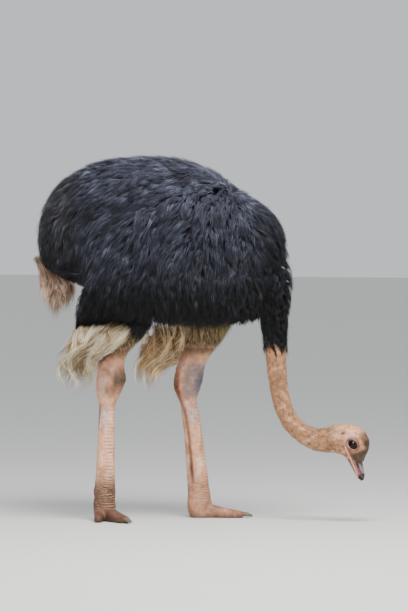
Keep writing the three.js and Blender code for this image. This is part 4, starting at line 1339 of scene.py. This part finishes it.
plume_strand = strand_shape((0.15, 0.30, 0.45, 0.60, 0.75, 0.88))
for name, plan in PLUMES.items():
    tufts, strands = plan["tufts"], plan["strands"]
    lines, ups, patches, off, turn = hung_lines(name, tufts, PLUME_STEPS, rng, root_share=0.40, **plan["hang"])
    points = woven(lines, ups, plume_strand, strands, plan["spread"], 0.75, 0.0019, rng,
                   shorter=0.45, stray=0.0045, wave=0.007, taper=1.6)
    tones = random_tones(plan["colours"], plan["weights"], tufts, rng, spread=0.10)[:, None, None, :]
    # Painted light: the left wing's and the tail's plumes are painted about twice as bright against the body's
    # shade; the right wing's get only a faint warm tint.
    tones = tones * rng.normal(1, 0.16, (tufts, strands, 1, 1)).clip(0.5, 1.5) * np.array(plan["tint_and_painted_light"])
    rear = 0.30 * smooth_step(0.2, 0.9, -np.cos(turn))
    # Painted shade on the strands deep inside each bundle.
    inner_shade = 0.50 * smooth_step(0.9, 0.35, off)
    tones = tones * ((1 + rear) * (1 - inner_shade))[:, None, None, None]
    tones = shaded_roots(tones, plume_strand, 0.50, 0.45)
    made = grown_coat(f"strands_{name}", points, plume_strand, tones, patches, pale_plume)
    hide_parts(name)

# ---------------------------------------------------------------- feathers of the thighs
# The thighs carry short hairlike feathers, brown and tan with an olive cast in front. They thin out to bare skin
# just above the hock.

HAIR_STRANDS = 4
HAIR_AREA = 66e-6
HAIR_END = 0.592             # height where the last hairs grow
THIGH_MIDDLE = {"right": (-0.30, -0.122), "left": (-0.03, 0.119)}
BROWNS = ["#DCC8A8", "#C0A984", "#A08868", "#7C674C", "#554434"]


def hair_lie(at, up):
    aim = np.array((0.10, 0.0, -1.0)) + 0.20 * mottle(at, 0.05, 71)[:, None] * np.array((1.0, 0.0, 0.0))
    return laid_flat(aim, up)


hair_strand = strand_shape((0.40,))
at = skin_surface.middles
hairy = (at[:, 0] < 0.15) & (at[:, 2] < 0.80) & (at[:, 2] > HAIR_END) & (np.abs(at[:, 1]) > 0.04)
roots, normals = skin_surface.roots(hairy * (0.10 + 0.90 * smooth_step(0.60, 0.70, at[:, 2])), HAIR_AREA, rng)
count = len(roots)
high = smooth_step(0.590, 0.76, roots[:, 2])
lengths = (0.014 + 0.046 * high) * rng.uniform(0.6, 1.3, count)
heights = (0.0015 + 0.0165 * high ** 1.4) * rng.uniform(0.4, 1.15, count)
lines, ups = traced(skin_tree, roots, normals, hair_lie, lengths, heights, 5)
points = woven(lines, ups, hair_strand, HAIR_STRANDS, 0.0020 + 0.0026 * high, 0.8, 0.0009 + 0.0009 * high, rng,
               shorter=0.5, stray=0.0020)
tones = random_tones(BROWNS, [20, 26, 26, 18, 10], count * HAIR_STRANDS, rng)
front = 0.40 * smooth_step(0.0, 0.8, normals[:, 0]) * smooth_step(0.62, 0.70, roots[:, 2])
front = front[:, None, None, None]
tones = tones.reshape(count, HAIR_STRANDS, 1, 3) * (1 - front) + tint("#9C9462") * front
tones = shaded_roots(tones, hair_strand, 0.65, 0.5)
on_left = roots[:, 1] > 0
middle = np.where(on_left[:, None], THIGH_MIDDLE["left"], THIGH_MIDDLE["right"])
turn = np.arctan2(roots[:, 1] - middle[:, 1], roots[:, 0] - middle[:, 0])
patches = np.column_stack([(turn / math.pi + 1) / 4 + 0.5 * on_left, (roots[:, 2] - 0.56) / 0.26])
grown_coat("thigh_hair", points, hair_strand, tones, patches, pale_plume)

# ---------------------------------------------------------------- down of neck and head
# Neck and head wear sparse short down, tan with brown flecks, that lies toward the body. It is shortest on the
# face, and stops at the lids and at the edge of the bill.

DOWN_STRANDS = 2
DOWN_AREA = 22e-6
TAN_DOWN = ["#DCBB9A", "#C49D78", "#A8815C", "#816042", "#58412F"]


def down_lie(at, up):
    _, _, way = along_neck(at)
    face_way = np.where((at[:, 0] > 0.53)[:, None], -BILL_FORWARD * 0.7 - np.array((0.5, 0, 0)), -way)
    aim = unit(face_way) + 0.35 * mottle(at, 0.02, 81)[:, None] * np.array((0.0, 1.0, 0.0))
    return laid_flat(aim, up)


def down_patches(at, on_face):
    """Places on an unwrap: the neck by the turn round it and the run along it, and above it the head's sides."""
    run, turn, _ = along_neck(at)
    forward, up = in_bill_frame(at)
    neck_patches = np.column_stack([(turn / math.pi + 1) / 2, run / run.max() * 0.7])
    head_patches = np.column_stack([
        np.clip(0.5 + np.sign(at[:, 1]) * 1.8 * (0.02 + 0.24 * (up + 0.06) / 0.13), 0, 1),
        np.clip(0.72 + 0.27 * (forward + 0.09) / 0.15, 0.71, 0.995),
    ])
    return np.where(on_face[:, None], head_patches, neck_patches)


at = skin_surface.middles
forward, up = in_bill_frame(at)
on_head = at[:, 0] > HEAD_FROM
on_lids = (np.hypot(forward / 1.16, up) < 0.0245) & on_head
on_lips = (forward > -0.004) & (up < MOUTH_LEVEL + 0.006) & on_head
downy = (at[:, 0] > 0.2) & (at[:, 2] < 0.70) & (forward < 0.050) & ~on_lids & ~on_lips
roots, normals = skin_surface.roots(downy * np.where(on_head, 2.0, 1.0), DOWN_AREA, rng)
count = len(roots)
on_face = roots[:, 0] > 0.515
faceward = smooth_step(0.46, 0.56, roots[:, 0])
cheek = smooth_step(0.045, 0.024, np.hypot(*in_bill_frame(roots))) * on_face
lengths = (0.0125 - 0.0040 * faceward - 0.0040 * cheek) * rng.uniform(0.7, 1.3, count)
heights = (0.0042 - 0.0014 * faceward - 0.0014 * cheek) * rng.uniform(0.4, 1.2, count)
lines, ups = traced(skin_tree, roots, normals, down_lie, lengths, heights, 3)
points = woven(lines, ups, hair_strand, DOWN_STRANDS, np.where(on_face, 0.0006, 0.0011), 0.4,
               np.where(on_face, 0.0006, 0.0009), rng, shorter=0.4, stray=0.0006)
tones = random_tones(TAN_DOWN, [22, 30, 24, 15, 9], count * DOWN_STRANDS, rng, spread=0.12)
skin_at = places_of(skin_bm)
skin_points = KDTree(len(skin_at))
for row, spot in enumerate(skin_at):
    skin_points.insert(spot, row)
skin_points.balance()
under = skin_tones[[skin_points.find(Vector(root))[1] for root in roots]][:, None, None, :]
blend = np.where(on_face, 0.85, 0.55)[:, None, None, None]
tones = tones.reshape(count, DOWN_STRANDS, 1, 3) * (1 - blend) + 1.12 * under * blend
tones = shaded_roots(1.12 * tones, hair_strand, 0.72 / 1.12, 0.8)
grown_coat("down", points, hair_strand, tones, down_patches(roots, on_face), pale_plume)

# ---------------------------------------------------------------- lashes
# Stiff black bristles stand along the upper lid, and a few shorter ones under the eye.

UPPER_LASHES, LOWER_LASHES = np.linspace(0.25, 2.75, 34), np.linspace(3.7, 5.7, 16)    # turns round the eye
LASH_WIDTH = 0.00085

starts, ways = [], []
for side, sign in SIDES:
    middle, radius = eye_of(side)
    outward = np.array((0.0, sign, 0.0))
    for turn in np.concatenate([UPPER_LASHES, LOWER_LASHES]):
        upper = turn < 3.0
        turn += rng.normal(0, 0.03)
        margin = lid_margin(turn) + 0.0004
        flat = math.cos(turn) * BILL_FORWARD + math.sin(turn) * BILL_UP
        height = math.sqrt((radius + LID_THICKNESS) ** 2 - margin ** 2) - 0.0003
        way = unit(flat * (0.55 if upper else 0.8) + 0.75 * outward + BILL_FORWARD * 0.25)
        length = rng.uniform(0.009, 0.013) if upper else rng.uniform(0.004, 0.006)
        starts.append(middle + margin * flat + height * outward)
        ways.append([way * length, flat * length * 0.30])
starts, ways = np.array(starts)[:, None, :], np.array(ways)[:, :, None, :]
steps = np.linspace(0, 1, 5)[None, :, None]
lines = starts + ways[:, 0] * steps + ways[:, 1] * steps ** 2
ups = np.broadcast_to(BILL_FORWARD, lines.shape)
lash_strand = strand_shape((0.5, 0.8))
points = woven(lines, ups, lash_strand, 1, 0.0, 0.0, LASH_WIDTH, rng, shorter=0.1, stray=0.0, flat=0.9)
tones = tint("#17120F")[None, None, None, :].repeat(len(lines), axis=0)
patches = np.column_stack([np.linspace(0.02, 0.97, len(lines)), np.full(len(lines), 0.5)])
grown_coat("lashes", points, lash_strand, tones, patches, body_feather)
